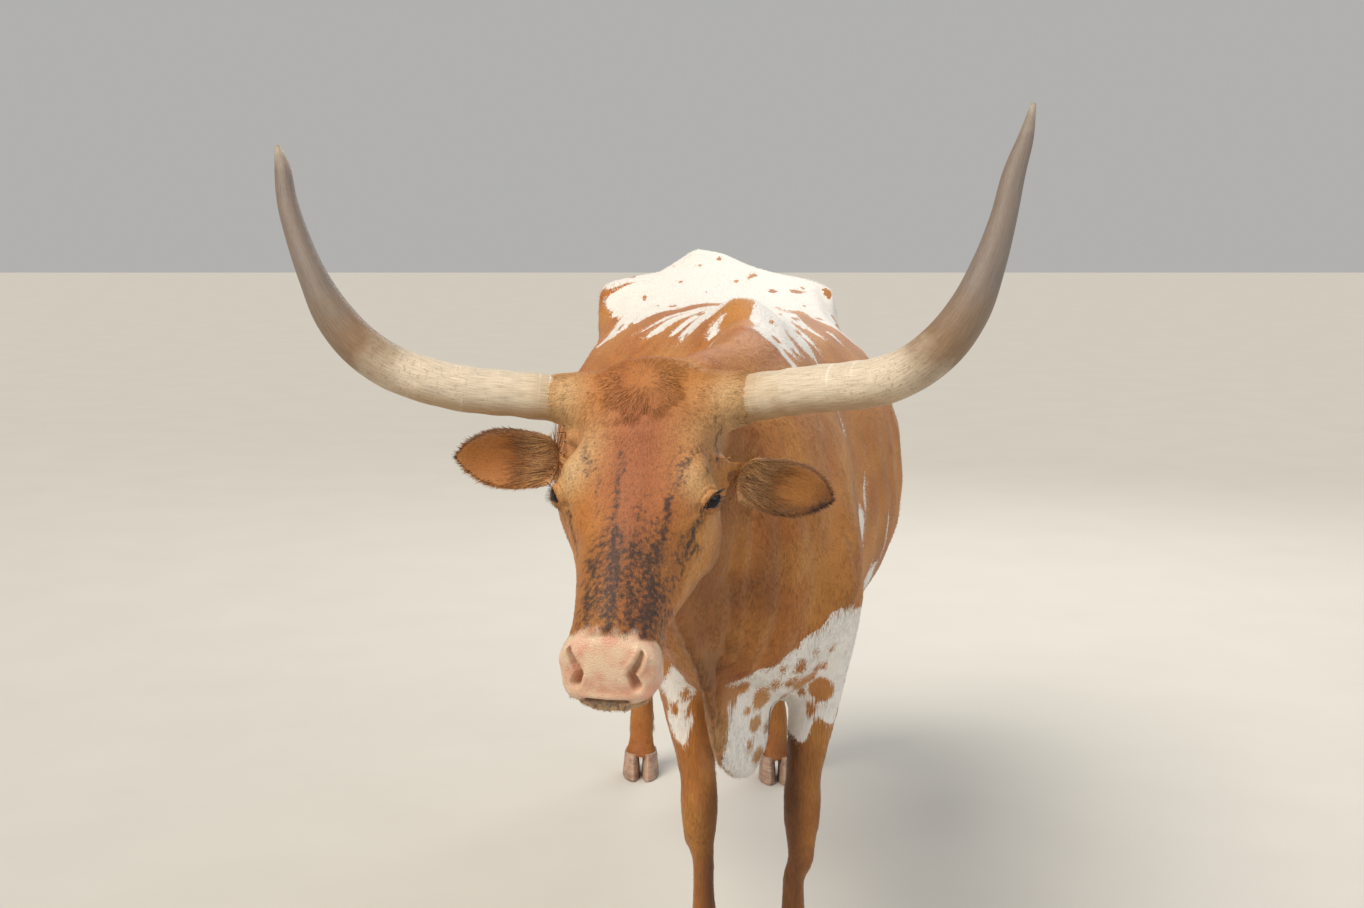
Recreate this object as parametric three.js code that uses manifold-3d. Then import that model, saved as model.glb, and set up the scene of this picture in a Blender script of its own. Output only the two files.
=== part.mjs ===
// A texas longhorn cow, life size, standing square with its head lowered and turned a little to its right.
// Millimetres, +Z up, nose towards -Y, the animal's left towards +X.
// The flesh is modelled whole from lofted forms and then parted by thin cuts into its named parts.
import * as THREE from 'three';
import { mergeVertices } from 'three/addons/utils/BufferGeometryUtils.js';
import Module from 'manifold-3d';

const wasm = await Module();
wasm.setup();

const { Vector3 } = THREE;

// Driving sizes of the living animal.
const gap = 0.3; // clear space between parts that touch
const eyeRadius = 19;
const hornRadius = 33; // at the root, half of 66
const headYaw = THREE.MathUtils.degToRad(14); // turned towards the animal's right
const facePitch = THREE.MathUtils.degToRad(54); // slope of the forehead below the level
const poll = new Vector3(-44, -840, 1180); // top of the head between the horns
const coronetHeight = 58; // where the leg ends on its hooves
const foreSpread = 87; // from the chest's centre line to each fore foot
const hindSpread = 166;
const foreCentre = 117; // x of the chest's centre line over the fore feet
const hindCentre = 65;
const sides = { left: 1, right: -1 };

// Reads one measure of a table of stations at a place between them, on a smooth curve through the stations.
function smoothed(table, key, at) {
  let i = 0;
  while (i < table.length - 2 && at > table[i + 1].at) i += 1;
  const [a, b] = [table[i], table[i + 1]];
  const span = b.at - a.at;
  const slope = (j) => {
    const before = table[Math.max(j - 1, 0)];
    const after = table[Math.min(j + 1, table.length - 1)];
    return (after[key] - before[key]) / (after.at - before.at);
  };
  const u = (at - a.at) / span;
  const stay = a[key] * (2 * u ** 3 - 3 * u ** 2 + 1) + b[key] * (3 * u ** 2 - 2 * u ** 3);
  return stay + span * (slope(i) * (u ** 3 - 2 * u ** 2 + u) + slope(i + 1) * (u ** 3 - u ** 2));
}

// All measures of the table at one place.
function station(table, at) {
  const keys = Object.keys(table[0]).filter((key) => key !== 'at');
  return Object.fromEntries(keys.map((key) => [key, smoothed(table, key, at)]));
}

// A closed outline round a centre: an oval whose four reaches differ, squarer or sharper by its exponents.
function outline({ centre, side, up, left, right, top, bottom, upper = 2, lower = 2 }, points) {
  const ring = [];
  for (let k = 0; k < points; k += 1) {
    const angle = (2 * Math.PI * k) / points;
    const [c, s] = [Math.cos(angle), Math.sin(angle)];
    const power = 2 / (s >= 0 ? upper : lower);
    const across = Math.sign(c) * Math.abs(c) ** power * (c >= 0 ? left : right);
    const along = Math.sign(s) * Math.abs(s) ** power * (s >= 0 ? top : bottom);
    ring.push(centre.clone().addScaledVector(side, across).addScaledVector(up, along));
  }
  return ring;
}

// A closed skin over a row of outlines of equal count, ended by a fan to the middle of each end outline.
function loft(rings) {
  const points = rings[0].length;
  const position = [];
  const index = [];
  const corner = (r, k) => r * points + (k % points);
  rings.flat().forEach((p) => position.push(p.x, p.y, p.z));
  for (let r = 0; r < rings.length - 1; r += 1) {
    for (let k = 0; k < points; k += 1) {
      index.push(corner(r, k), corner(r, k + 1), corner(r + 1, k + 1));
      index.push(corner(r, k), corner(r + 1, k + 1), corner(r + 1, k));
    }
  }
  [0, rings.length - 1].forEach((r, end) => {
    const middle = rings[r].reduce((sum, p) => sum.add(p), new Vector3()).divideScalar(points);
    const apex = position.length / 3;
    position.push(middle.x, middle.y, middle.z);
    for (let k = 0; k < points; k += 1) {
      const pair = [corner(r, k), corner(r, k + 1)];
      index.push(apex, ...(end ? pair : pair.reverse()));
    }
  });
  const geometry = new THREE.BufferGeometry();
  geometry.setAttribute('position', new THREE.Float32BufferAttribute(position, 3));
  geometry.setIndex(index);
  return facingOut(geometry);
}

// Turns every face round where the skin is inside out.
function facingOut(geometry) {
  const index = geometry.index.array;
  const place = geometry.attributes.position;
  const corner = (i) => new Vector3().fromBufferAttribute(place, index[i]);
  let volume = 0;
  for (let i = 0; i < index.length; i += 3) volume += corner(i).dot(corner(i + 1).cross(corner(i + 2)));
  if (volume < 0) {
    for (let i = 0; i < index.length; i += 3) [index[i], index[i + 1]] = [index[i + 1], index[i]];
  }
  return geometry;
}

// Geometry to a solid that can be joined and cut.
function solid(geometry) {
  const bare = geometry.clone();
  bare.deleteAttribute('normal');
  bare.deleteAttribute('uv');
  const merged = mergeVertices(bare, 1e-3);
  return new wasm.Manifold(new wasm.Mesh({
    numProp: 3,
    vertProperties: new Float32Array(merged.attributes.position.array),
    triVerts: new Uint32Array(merged.index.array),
  }));
}

const join = (...pieces) => wasm.Manifold.union(pieces.flat());

// The largest closed surface of a solid, without its loose scraps.
function largest(piece) {
  const bodies = piece.decompose().sort((a, b) => b.volume() - a.volume());
  return bodies[0];
}

// A solid back to geometry for the scene.
function geometryOf(piece) {
  const mesh = piece.getMesh();
  const geometry = new THREE.BufferGeometry();
  geometry.setAttribute('position', new THREE.Float32BufferAttribute(mesh.vertProperties, 3));
  geometry.setIndex(Array.from(mesh.triVerts));
  return geometry;
}

// Evenly spread values from the first to the last.
const spread = (first, last, count) => Array.from(
  { length: count },
  (_, i) => first + ((last - first) * i) / (count - 1),
);

// Values from the first to the last that stand closer together near both ends.
const crowded = (first, last, count) => spread(0, 1, count).map((t) => {
  const eased = (1 - Math.cos(Math.PI * t)) / 2;
  return first + (last - first) * (0.45 * t + 0.55 * eased);
});

// An egg shape turned to lie along its own axes.
function egg({ at, reach, turn = [0, 0, 0], detail = [16, 10] }) {
  const geometry = new THREE.SphereGeometry(1, ...detail);
  geometry.scale(...reach);
  geometry.rotateX(turn[0]);
  geometry.rotateY(turn[1]);
  geometry.rotateZ(turn[2]);
  geometry.translate(...at);
  return solid(geometry);
}

// A block for parting the flesh, grown all round by a margin. One wall passes through a point and faces
// one way, and the block reaches back from that wall.
function block({ through, facing, reach, width, height }, margin) {
  const face = new Vector3(...facing).normalize();
  const side = new Vector3().crossVectors(new Vector3(0, 0, 1), face).normalize();
  const up = new Vector3().crossVectors(face, side);
  const geometry = new THREE.BoxGeometry(reach + 2 * margin, width + 2 * margin, height + 2 * margin);
  geometry.translate(-reach / 2, 0, 0);
  geometry.applyMatrix4(new THREE.Matrix4().makeBasis(face, side, up));
  geometry.translate(...through);
  return solid(geometry);
}

// The trunk from the front of the chest to the pins, upright outlines along the back.
// at is y, mid the height of the widest place, upper and lower the exponents of the two halves.
const trunkStations = [
  { at: -548, x: 108, top: 900, bottom: 730, half: 40, mid: 815, upper: 2, lower: 2 },
  { at: -520, x: 108, top: 1010, bottom: 650, half: 126, mid: 805, upper: 2, lower: 2 },
  { at: -430, x: 108, top: 1150, bottom: 585, half: 168, mid: 800, upper: 1.9, lower: 2 },
  { at: -320, x: 107, top: 1218, bottom: 560, half: 182, mid: 820, upper: 1.8, lower: 2.1 },
  { at: -220, x: 104, top: 1241, bottom: 548, half: 200, mid: 830, upper: 1.75, lower: 2.2 },
  { at: -80, x: 100, top: 1226, bottom: 545, half: 240, mid: 835, upper: 1.85, lower: 2.2 },
  { at: 90, x: 96, top: 1212, bottom: 545, half: 305, mid: 850, upper: 2.15, lower: 2.2 },
  { at: 260, x: 92, top: 1210, bottom: 552, half: 348, mid: 862, upper: 2.3, lower: 2.2 },
  { at: 420, x: 86, top: 1221, bottom: 585, half: 330, mid: 885, upper: 2.4, lower: 2.2 },
  { at: 540, x: 80, top: 1238, bottom: 640, half: 292, mid: 950, upper: 2.8, lower: 2.1 },
  { at: 650, x: 72, top: 1256, bottom: 690, half: 250, mid: 1040, upper: 2.7, lower: 2 },
  { at: 790, x: 62, top: 1276, bottom: 740, half: 212, mid: 1020, upper: 2.1, lower: 2 },
  { at: 910, x: 54, top: 1256, bottom: 800, half: 178, mid: 1000, upper: 1.9, lower: 2 },
  { at: 990, x: 50, top: 1200, bottom: 850, half: 132, mid: 1010, upper: 1.9, lower: 2 },
  { at: 1024, x: 50, top: 1140, bottom: 890, half: 70, mid: 1015, upper: 2, lower: 2 },
];

function trunk() {
  const rings = crowded(-548, 1024, 30).map((y) => {
    const s = station(trunkStations, y);
    return outline({
      centre: new Vector3(s.x, y, s.mid),
      side: new Vector3(1, 0, 0),
      up: new Vector3(0, 0, 1),
      left: s.half,
      right: s.half,
      top: s.top - s.mid,
      bottom: s.mid - s.bottom,
      upper: s.upper,
      lower: s.lower,
    }, 26);
  });
  return solid(loft(swelled(rings, trunkForms())));
}

// Pushes outlines out or in round named places, fading smoothly with the distance from each.
function swelled(rings, swellings) {
  rings.flat().forEach((p) => {
    const push = new Vector3();
    swellings.forEach(({ at, axes, reach, by }) => {
      const away = axes.map((axis, i) => p.clone().sub(at).dot(axis) / reach[i]);
      const fade = Math.exp(-away.reduce((sum, d) => sum + d * d, 0));
      axes.forEach((axis, i) => push.addScaledVector(axis, by[i] * fade));
    });
    p.add(push);
  });
  return rings;
}

const worldAxes = [new Vector3(1, 0, 0), new Vector3(0, 1, 0), new Vector3(0, 0, 1)];

// A form of the trunk on one side of its centre line at x, or on the line itself when sign is 0.
const trunkForm = (sign, x, out, y, z, reach, by) => ({
  at: new Vector3(x + sign * out, y, z),
  axes: worldAxes,
  reach,
  by: [(sign || 1) * by[0], by[1], by[2]],
});

// Bones and hollows that show through the hide.
function trunkForms() {
  const paired = Object.values(sides).flatMap((sign) => [
    trunkForm(sign, 74, 214, 652, 1196, [78, 84, 56], [46, -6, 30]), // hook
    trunkForm(sign, 80, 250, 510, 1085, [90, 84, 78], [-16, 0, -6]), // hollow of the flank
    trunkForm(sign, 50, 104, 1000, 1120, [60, 56, 52], [14, 24, 6]), // pin
    trunkForm(sign, 60, 196, 850, 1010, [80, 92, 92], [16, 0, 0]), // hip joint
    trunkForm(sign, 64, 160, 800, 1200, [56, 84, 50], [-16, 0, -12]), // hollow between hook and pin
    trunkForm(sign, 110, 150, -462, 815, [66, 74, 88], [24, -18, 0]), // point of the shoulder
    trunkForm(sign, 105, 165, -300, 950, [70, 112, 180], [16, 0, 0]), // shoulder blade
    trunkForm(sign, 100, 226, -120, 900, [80, 58, 190], [-12, 0, 0]), // hollow behind the shoulder
  ]);
  return [
    ...paired,
    trunkForm(0, 104, 0, -225, 1240, [52, 140, 44], [0, 0, 8]), // withers
    trunkForm(0, 46, 0, 800, 1284, [62, 130, 52], [-5, 0, 24]), // sacrum
  ];
}

// The neck runs from inside the shoulders to the back of the skull, upright outlines across its path.
const neckStations = [
  { at: 0, x: 106, y: -300, top: 1222, bottom: 600, half: 168, mid: 830, upper: 1.7, lower: 2 },
  { at: 1, x: 98, y: -430, top: 1210, bottom: 604, half: 164, mid: 845, upper: 1.75, lower: 2 },
  { at: 2, x: 78, y: -540, top: 1200, bottom: 650, half: 138, mid: 885, upper: 1.8, lower: 1.9 },
  { at: 3, x: 38, y: -642, top: 1192, bottom: 735, half: 108, mid: 950, upper: 1.9, lower: 1.8 },
  { at: 4, x: 2, y: -720, top: 1184, bottom: 805, half: 90, mid: 1000, upper: 2, lower: 1.9 },
  { at: 5, x: -24, y: -790, top: 1160, bottom: 870, half: 80, mid: 1030, upper: 2, lower: 2 },
];

// The dewlap and the brisket hang under neck and chest as one fold.
const dewlapStations = [
  { at: 0, x: -24, y: -800, top: 905, bottom: 866, half: 10 },
  { at: 1, x: -8, y: -745, top: 900, bottom: 790, half: 15 },
  { at: 2, x: 22, y: -670, top: 860, bottom: 702, half: 17 },
  { at: 3, x: 44, y: -590, top: 830, bottom: 610, half: 19 },
  { at: 4, x: 58, y: -515, top: 800, bottom: 510, half: 24 },
  { at: 5, x: 84, y: -455, top: 780, bottom: 468, half: 34 },
  { at: 6, x: 103, y: -390, top: 760, bottom: 446, half: 44 },
  { at: 7, x: 112, y: -310, top: 740, bottom: 458, half: 47 },
  { at: 8, x: 110, y: -220, top: 720, bottom: 500, half: 42 },
  { at: 9, x: 106, y: -130, top: 700, bottom: 556, half: 26 },
];

// A row of upright outlines whose path bends in plan.
function uprightLoft(table, count, points, exponents = {}) {
  const last = table[table.length - 1].at;
  const rings = spread(0, last, count).map((at) => {
    const s = station(table, at);
    const ahead = station(table, Math.min(at + 0.05, last));
    const behind = station(table, Math.max(at - 0.05, 0));
    const along = new Vector3(ahead.x - behind.x, ahead.y - behind.y, 0).normalize();
    const mid = s.mid ?? (s.top + s.bottom) / 2;
    return outline({
      centre: new Vector3(s.x, s.y, mid),
      side: new Vector3(-along.y, along.x, 0),
      up: new Vector3(0, 0, 1),
      left: s.half,
      right: s.half,
      top: s.top - mid,
      bottom: mid - s.bottom,
      upper: s.upper ?? exponents.upper,
      lower: s.lower ?? exponents.lower,
    }, points);
  });
  return solid(loft(rings));
}

// A fore leg from the shoulder blade to the coronet. at counts down from the top, out is from the
// chest's centre line.
const foreLegStations = [
  { at: 0, z: 1050, out: 98, y: -280, half: 34, fore: 80, hind: 80 },
  { at: 1, z: 960, out: 120, y: -310, half: 44, fore: 108, hind: 104 },
  { at: 2, z: 860, out: 133, y: -330, half: 52, fore: 122, hind: 122 },
  { at: 3, z: 750, out: 133, y: -330, half: 57, fore: 110, hind: 122 },
  { at: 4, z: 660, out: 122, y: -305, half: 56, fore: 76, hind: 92 },
  { at: 5, z: 590, out: 113, y: -300, half: 50, fore: 60, hind: 62 },
  { at: 6, z: 510, out: 101, y: -310, half: 42, fore: 48, hind: 44 },
  { at: 7, z: 440, out: 90, y: -320, half: 34, fore: 38, hind: 35 },
  { at: 8, z: 392, out: foreSpread, y: -326, half: 37, fore: 42, hind: 36 },
  { at: 9, z: 345, out: foreSpread, y: -324, half: 33, fore: 34, hind: 34 },
  { at: 10, z: 300, out: foreSpread, y: -321, half: 26, fore: 26, hind: 29 },
  { at: 11, z: 215, out: foreSpread, y: -318, half: 24, fore: 24, hind: 28 },
  { at: 12, z: 150, out: foreSpread, y: -318, half: 30, fore: 32, hind: 36 },
  { at: 13, z: 122, out: foreSpread, y: -322, half: 32, fore: 34, hind: 38 },
  { at: 14, z: 92, out: foreSpread, y: -336, half: 30, fore: 32, hind: 33 },
  { at: 15, z: coronetHeight, out: foreSpread, y: -352, half: 43, fore: 42, hind: 44 },
];

// A hind leg from the rump to the coronet, the hock set back under the pins.
const hindLegStations = [
  { at: 0, z: 1130, out: 105, y: 850, half: 66, fore: 100, hind: 90 },
  { at: 1, z: 1030, out: 122, y: 842, half: 84, fore: 170, hind: 150 },
  { at: 2, z: 920, out: 134, y: 828, half: 92, fore: 205, hind: 186 },
  { at: 3, z: 820, out: 142, y: 815, half: 92, fore: 208, hind: 184 },
  { at: 4, z: 735, out: 147, y: 815, half: 84, fore: 188, hind: 164 },
  { at: 5, z: 660, out: 148, y: 870, half: 64, fore: 140, hind: 118 },
  { at: 6, z: 590, out: 145, y: 940, half: 46, fore: 92, hind: 78 },
  { at: 7, z: 530, out: 143, y: 1000, half: 38, fore: 66, hind: 56 },
  { at: 8, z: 478, out: 144, y: 1040, half: 41, fore: 60, hind: 48 },
  { at: 9, z: 425, out: 147, y: 1056, half: 37, fore: 52, hind: 36 },
  { at: 10, z: 370, out: 151, y: 1058, half: 29, fore: 38, hind: 31 },
  { at: 11, z: 250, out: 158, y: 1062, half: 25, fore: 29, hind: 29 },
  { at: 12, z: 160, out: 163, y: 1068, half: 31, fore: 34, hind: 37 },
  { at: 13, z: 126, out: 164, y: 1068, half: 34, fore: 37, hind: 40 },
  { at: 14, z: 95, out: 165, y: 1058, half: 31, fore: 33, hind: 34 },
  { at: 15, z: coronetHeight, out: hindSpread, y: 1044, half: 43, fore: 44, hind: 45 },
];

// The right hind leg is set a little further back than the left.
const stepBack = { left: 0, right: 28 };

const limbs = {
  foreleg: {
    table: foreLegStations,
    centre: foreCentre,
    length: 118,
    step: { left: 0, right: 0 },
    dewclawY: -292,
  },
  hindleg: {
    table: hindLegStations,
    centre: hindCentre,
    length: 122,
    step: stepBack,
    dewclawY: 1098,
  },
};

// How far a level of the leg stands back, growing from nothing at the thigh to the whole step at the foot.
function steppedBack(limb, sideName, z) {
  const thigh = 900;
  return limb.step[sideName] * THREE.MathUtils.clamp((thigh - z) / (thigh - coronetHeight), 0, 1);
}

const dewclaw = { spread: 21, height: 106, reach: [12, 17, 19] };

function leg(limb, sideName) {
  const sign = sides[sideName];
  const rings = spread(0, 15, 22).map((at) => {
    const s = station(limb.table, at);
    const z = at === 15 ? coronetHeight : s.z;
    const y = s.y + steppedBack(limb, sideName, z);
    return outline({
      centre: new Vector3(limb.centre + sign * s.out, y, z),
      side: new Vector3(1, 0, 0),
      up: new Vector3(0, 1, 0),
      left: s.half,
      right: s.half,
      top: s.hind,
      bottom: s.fore,
      upper: 2.1,
      lower: 2.1,
    }, 12);
  });
  const dewclaws = [-1, 1].map((off) => egg({
    at: [
      limb.centre + sign * limb.table[13].out + off * dewclaw.spread,
      limb.dewclawY + steppedBack(limb, sideName, dewclaw.height),
      dewclaw.height,
    ],
    reach: dewclaw.reach,
    turn: [0.5, 0, 0],
    detail: [6, 5],
  }));
  return join(solid(loft(rings)), dewclaws);
}

// One hoof claw: a flat sole, a sloping front wall and a lower heel. off is -1 or 1 within the pair.
const clawHalf = 21;
const clawLevels = [
  { z: 0, grow: 1, back: 0 },
  { z: 7, grow: 1.03, back: 0 },
  { z: 30, grow: 0.97, back: 6 },
  { z: coronetHeight - gap, grow: 0.9, back: 15 },
];

function claw(limb, sideName, off) {
  const foot = limb.table[15];
  const sign = sides[sideName];
  const y = foot.y + steppedBack(limb, sideName, 0) - 12;
  const x = limb.centre + sign * foot.out + off * (clawHalf + 1);
  const points = 12;
  const rings = clawLevels.map(({ z, grow, back }) => spread(0, points - 1, points).map((k) => {
    const angle = (2 * Math.PI * k) / points;
    const narrow = 1 - 0.22 * Math.max(0, -Math.sin(angle)) ** 2;
    const inner = Math.sign(Math.cos(angle)) === -off;
    const half = clawHalf * (inner ? 0.96 : 1.06 * grow);
    const toeIn = -off * 5 * Math.max(0, -Math.sin(angle)) ** 2;
    const reach = limb.length / 2 * grow;
    return new Vector3(x + Math.cos(angle) * half * narrow + toeIn, y + back + Math.sin(angle) * reach, z);
  }));
  return solid(loft(rings));
}

// The head's own frame: along the face to the muzzle, out of the forehead, and to the animal's left.
const headAxes = {
  along: new Vector3(
    -Math.sin(headYaw) * Math.cos(facePitch),
    -Math.cos(headYaw) * Math.cos(facePitch),
    -Math.sin(facePitch),
  ),
  out: new Vector3(
    -Math.sin(headYaw) * Math.sin(facePitch),
    -Math.cos(headYaw) * Math.sin(facePitch),
    Math.cos(facePitch),
  ),
  left: new Vector3(Math.cos(headYaw), -Math.sin(headYaw), 0),
};
const headForward = new Vector3(-Math.sin(headYaw), -Math.cos(headYaw), 0);

// A place on the head by its distances along the face, to the left and out of the forehead.
function onHead(along, left, out) {
  return poll.clone()
    .addScaledVector(headAxes.along, along)
    .addScaledVector(headAxes.left, left)
    .addScaledVector(headAxes.out, out);
}

// The skull in flesh. at is the distance from the poll, out and under the reach of the profile and the jaw.
const headStations = [
  { at: -42, half: 52, out: -48, under: 118, mid: -86, upper: 2, lower: 2 },
  { at: -22, half: 88, out: -16, under: 158, mid: -78, upper: 2.2, lower: 2 },
  { at: 10, half: 104, out: 1, under: 186, mid: -66, upper: 2.6, lower: 2 },
  { at: 60, half: 101, out: 6, under: 208, mid: -60, upper: 2.8, lower: 2 },
  { at: 120, half: 98, out: 8, under: 226, mid: -64, upper: 2.8, lower: 2.1 },
  { at: 180, half: 101, out: 7, under: 232, mid: -80, upper: 2.7, lower: 2.1 },
  { at: 230, half: 92, out: 4, under: 224, mid: -88, upper: 2.4, lower: 2.1 },
  { at: 280, half: 77, out: 1, under: 192, mid: -78, upper: 2.2, lower: 2.1 },
  { at: 330, half: 65, out: 0, under: 158, mid: -66, upper: 2.2, lower: 2.2 },
  { at: 375, half: 61, out: 0, under: 136, mid: -60, upper: 2.3, lower: 2.3 },
  { at: 400, half: 62, out: -5, under: 131, mid: -62, upper: 2.4, lower: 2.3 },
  { at: 420, half: 66, out: -15, under: 128, mid: -68, upper: 2.5, lower: 2.2 },
  { at: 438, half: 67, out: -28, under: 125, mid: -76, upper: 2.5, lower: 2.1 },
  { at: 453, half: 62, out: -43, under: 120, mid: -82, upper: 2.4, lower: 2 },
  { at: 464, half: 52, out: -57, under: 113, mid: -86, upper: 2.2, lower: 2 },
  { at: 471, half: 38, out: -70, under: 105, mid: -88, upper: 2, lower: 2 },
  { at: 475, half: 20, out: -80, under: 97, mid: -89, upper: 2, lower: 2 },
];
const eyePlace = { along: 184, left: 99, out: -35 };

// The horns leave the sides of the poll, run out level and sweep up. s is out to the side, f forward, z up.
const hornStations = {
  left: [
    { at: 0, s: 76, f: -18, z: -50, r: 1 },
    { at: 1, s: 138, f: -9, z: -40, r: 1 },
    { at: 2, s: 180, f: 2, z: -32, r: 0.97 },
    { at: 3, s: 228, f: 20, z: -23, r: 0.97 },
    { at: 4, s: 280, f: 35, z: -16, r: 0.98 },
    { at: 5, s: 329, f: 50, z: -6, r: 0.97 },
    { at: 6, s: 372, f: 60, z: 14, r: 0.94 },
    { at: 7, s: 411, f: 65, z: 47, r: 0.92 },
    { at: 8, s: 440, f: 65, z: 88, r: 0.84 },
    { at: 9, s: 463, f: 55, z: 145, r: 0.67 },
    { at: 10, s: 479, f: 40, z: 203, r: 0.53 },
    { at: 11, s: 491, f: 20, z: 265, r: 0.44 },
    { at: 12, s: 503, f: 5, z: 308, r: 0.31 },
    { at: 13, s: 511, f: -14, z: 352, r: 0.1 },
  ],
  right: [
    { at: 0, s: 76, f: -18, z: -54, r: 1 },
    { at: 1, s: 138, f: -8, z: -48, r: 1 },
    { at: 2, s: 194, f: 10, z: -41, r: 0.97 },
    { at: 3, s: 256, f: 30, z: -34, r: 0.98 },
    { at: 4, s: 311, f: 45, z: -21, r: 0.97 },
    { at: 5, s: 361, f: 55, z: -2, r: 0.95 },
    { at: 6, s: 399, f: 62, z: 24, r: 0.92 },
    { at: 7, s: 438, f: 65, z: 67, r: 0.83 },
    { at: 8, s: 471, f: 60, z: 122, r: 0.62 },
    { at: 9, s: 500, f: 45, z: 177, r: 0.51 },
    { at: 10, s: 521, f: 30, z: 224, r: 0.44 },
    { at: 11, s: 538, f: 10, z: 279, r: 0.31 },
    { at: 12, s: 551, f: -5, z: 303, r: 0.12 },
  ],
};

// A place by its distance out to one side of the poll, forward of it and above it.
function besidePoll(sign, s, f, z) {
  return poll.clone()
    .addScaledVector(headAxes.left, sign * s)
    .addScaledVector(headForward, f)
    .add(new Vector3(0, 0, z));
}

// Round outlines square to a path.
function tube(centres, radii, points, { flat = 1, across = new Vector3(0, 0, 1) } = {}) {
  const rings = centres.map((centre, i) => {
    const before = centres[Math.max(i - 1, 0)];
    const after = centres[Math.min(i + 1, centres.length - 1)];
    const along = after.clone().sub(before).normalize();
    const side = new Vector3().crossVectors(across, along).normalize();
    const up = new Vector3().crossVectors(along, side);
    return outline({
      centre,
      side,
      up,
      left: radii[i],
      right: radii[i],
      top: radii[i] * flat,
      bottom: radii[i] * flat,
    }, points);
  });
  return solid(loft(rings));
}

const hornPoints = 12;

// The middle line and the radii of a horn.
function hornPath(sideName) {
  const table = hornStations[sideName];
  const last = table[table.length - 1].at;
  const ats = [0, 0.33, 0.67, ...spread(1, last, 19)];
  const centres = ats.map((at) => {
    const s = station(table, at);
    return besidePoll(sides[sideName], s.s, s.f, s.z);
  });
  return [centres, ats.map((at) => station(table, at).r * hornRadius)];
}

function horn(sideName) {
  const [centres, radii] = hornPath(sideName);
  return tube(centres, radii, hornPoints, { across: headForward });
}

// The hollow that a horn's root fills, larger all round by the gap.
function hornHollow(sideName) {
  const [centres, radii] = hornPath(sideName);
  const inward = centres[0].clone().sub(centres[1]).normalize();
  centres[0].addScaledVector(inward, gap);
  const count = sleeveWall.length + 1;
  return tube(centres.slice(0, count), radii.slice(0, count).map((r) => r + 2 * gap), hornPoints, {
    across: headForward,
  });
}

// The hairy sleeve of skin over each horn's root, thinner towards its rim.
const sleeveWall = [15, 13, 8, 4];

function hornSleeve(sideName) {
  const [centres, radii] = hornPath(sideName);
  const count = sleeveWall.length;
  return tube(centres.slice(0, count), radii.slice(0, count).map((r, i) => r + sleeveWall[i]), hornPoints, {
    across: headForward,
  });
}

// An ear as a cupped leaf. Its outline bends from root to tip, open towards the front.
const earLength = 205;
const earHalf = 45;
const earWall = 5;
const earPlaces = {
  left: { root: [118, 2, -146], tip: [261, -149, -207], open: new Vector3(-0.1, -0.98, -0.15) },
  right: { root: [116, 18, -132], tip: [330, -20, -137], open: new Vector3(0.15, -0.98, 0.05) },
};

function ear(sideName) {
  const { root, tip, open } = earPlaces[sideName];
  const from = besidePoll(sides[sideName], ...root);
  const to = besidePoll(sides[sideName], ...tip);
  const along = to.clone().sub(from).normalize();
  const depth = open.clone().addScaledVector(along, -open.dot(along)).normalize();
  const across = new Vector3().crossVectors(along, depth).normalize();
  const rings = spread(0, 1, 12).map((u) => {
    const swell = Math.sin(0.62 * Math.PI * Math.min(1.1 * u, 1));
    const half = earHalf * (0.5 + 0.5 * swell) * (1 - 0.94 * u ** 6);
    const cup = 26 * Math.sin(Math.PI * (0.25 + 0.7 * u)) * (1 - u ** 4);
    const centre = from.clone().addScaledVector(along, earLength * (u - 0.14));
    const arc = (bend, lift) => (k) => centre.clone()
      .addScaledVector(across, half * k)
      .addScaledVector(depth, -bend * (1 - k * k) + lift);
    const steps = spread(-1, 1, 7);
    const wall = earWall * (1 - 0.5 * u);
    return [...steps.map(arc(cup + wall, 0)), ...steps.slice().reverse().map(arc(cup, wall * 0.5))];
  });
  return solid(loft(rings));
}

// The ear is parted from its stump on the head by a wall across its root.
function earRegion(sideName) {
  const { root, tip } = earPlaces[sideName];
  const from = besidePoll(sides[sideName], ...root);
  const along = besidePoll(sides[sideName], ...tip).sub(from).normalize();
  const facing = along.clone().negate().toArray();
  return { through: from.addScaledVector(along, 26).toArray(), facing, reach: 260, width: 120, height: 110 };
}

const lidWall = 4;
const lidSlit = [18, 10.5]; // half the length and half the height of the opening

// Eyelids as a rounded rim over the eyeball, which the almond opening is later cut out of.
function lids(sign) {
  const centre = onHead(eyePlace.along, sign * eyePlace.left, eyePlace.out);
  const reach = eyeRadius + lidWall;
  return egg({ at: centre.toArray(), reach: [reach, reach, reach], detail: [12, 8] });
}

// The way the eye looks: out to its side, a little forward and up.
function gaze(sign) {
  return new Vector3()
    .addScaledVector(headAxes.left, sign * 0.76)
    .addScaledVector(headAxes.out, 0.52)
    .addScaledVector(headAxes.along, 0.34)
    .normalize();
}

function lidOpening(sign) {
  const centre = onHead(eyePlace.along, sign * eyePlace.left, eyePlace.out);
  const look = gaze(sign);
  const slit = headForward.clone().addScaledVector(headAxes.along, 0.6);
  const across = slit.addScaledVector(look, -look.dot(slit)).normalize();
  const up = new Vector3().crossVectors(across, look);
  const [halfLong, halfTall] = lidSlit;
  const flare = 0.2;
  const rings = [6, 40].map((reach) => outline({
    centre: centre.clone().addScaledVector(look, reach),
    side: across,
    up,
    left: halfLong + (reach - eyeRadius) * flare,
    right: halfLong + (reach - eyeRadius) * flare,
    top: halfTall + (reach - eyeRadius) * flare,
    bottom: halfTall + (reach - eyeRadius) * flare,
    upper: 1.7,
    lower: 1.7,
  }, 16));
  return solid(loft(rings));
}

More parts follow.
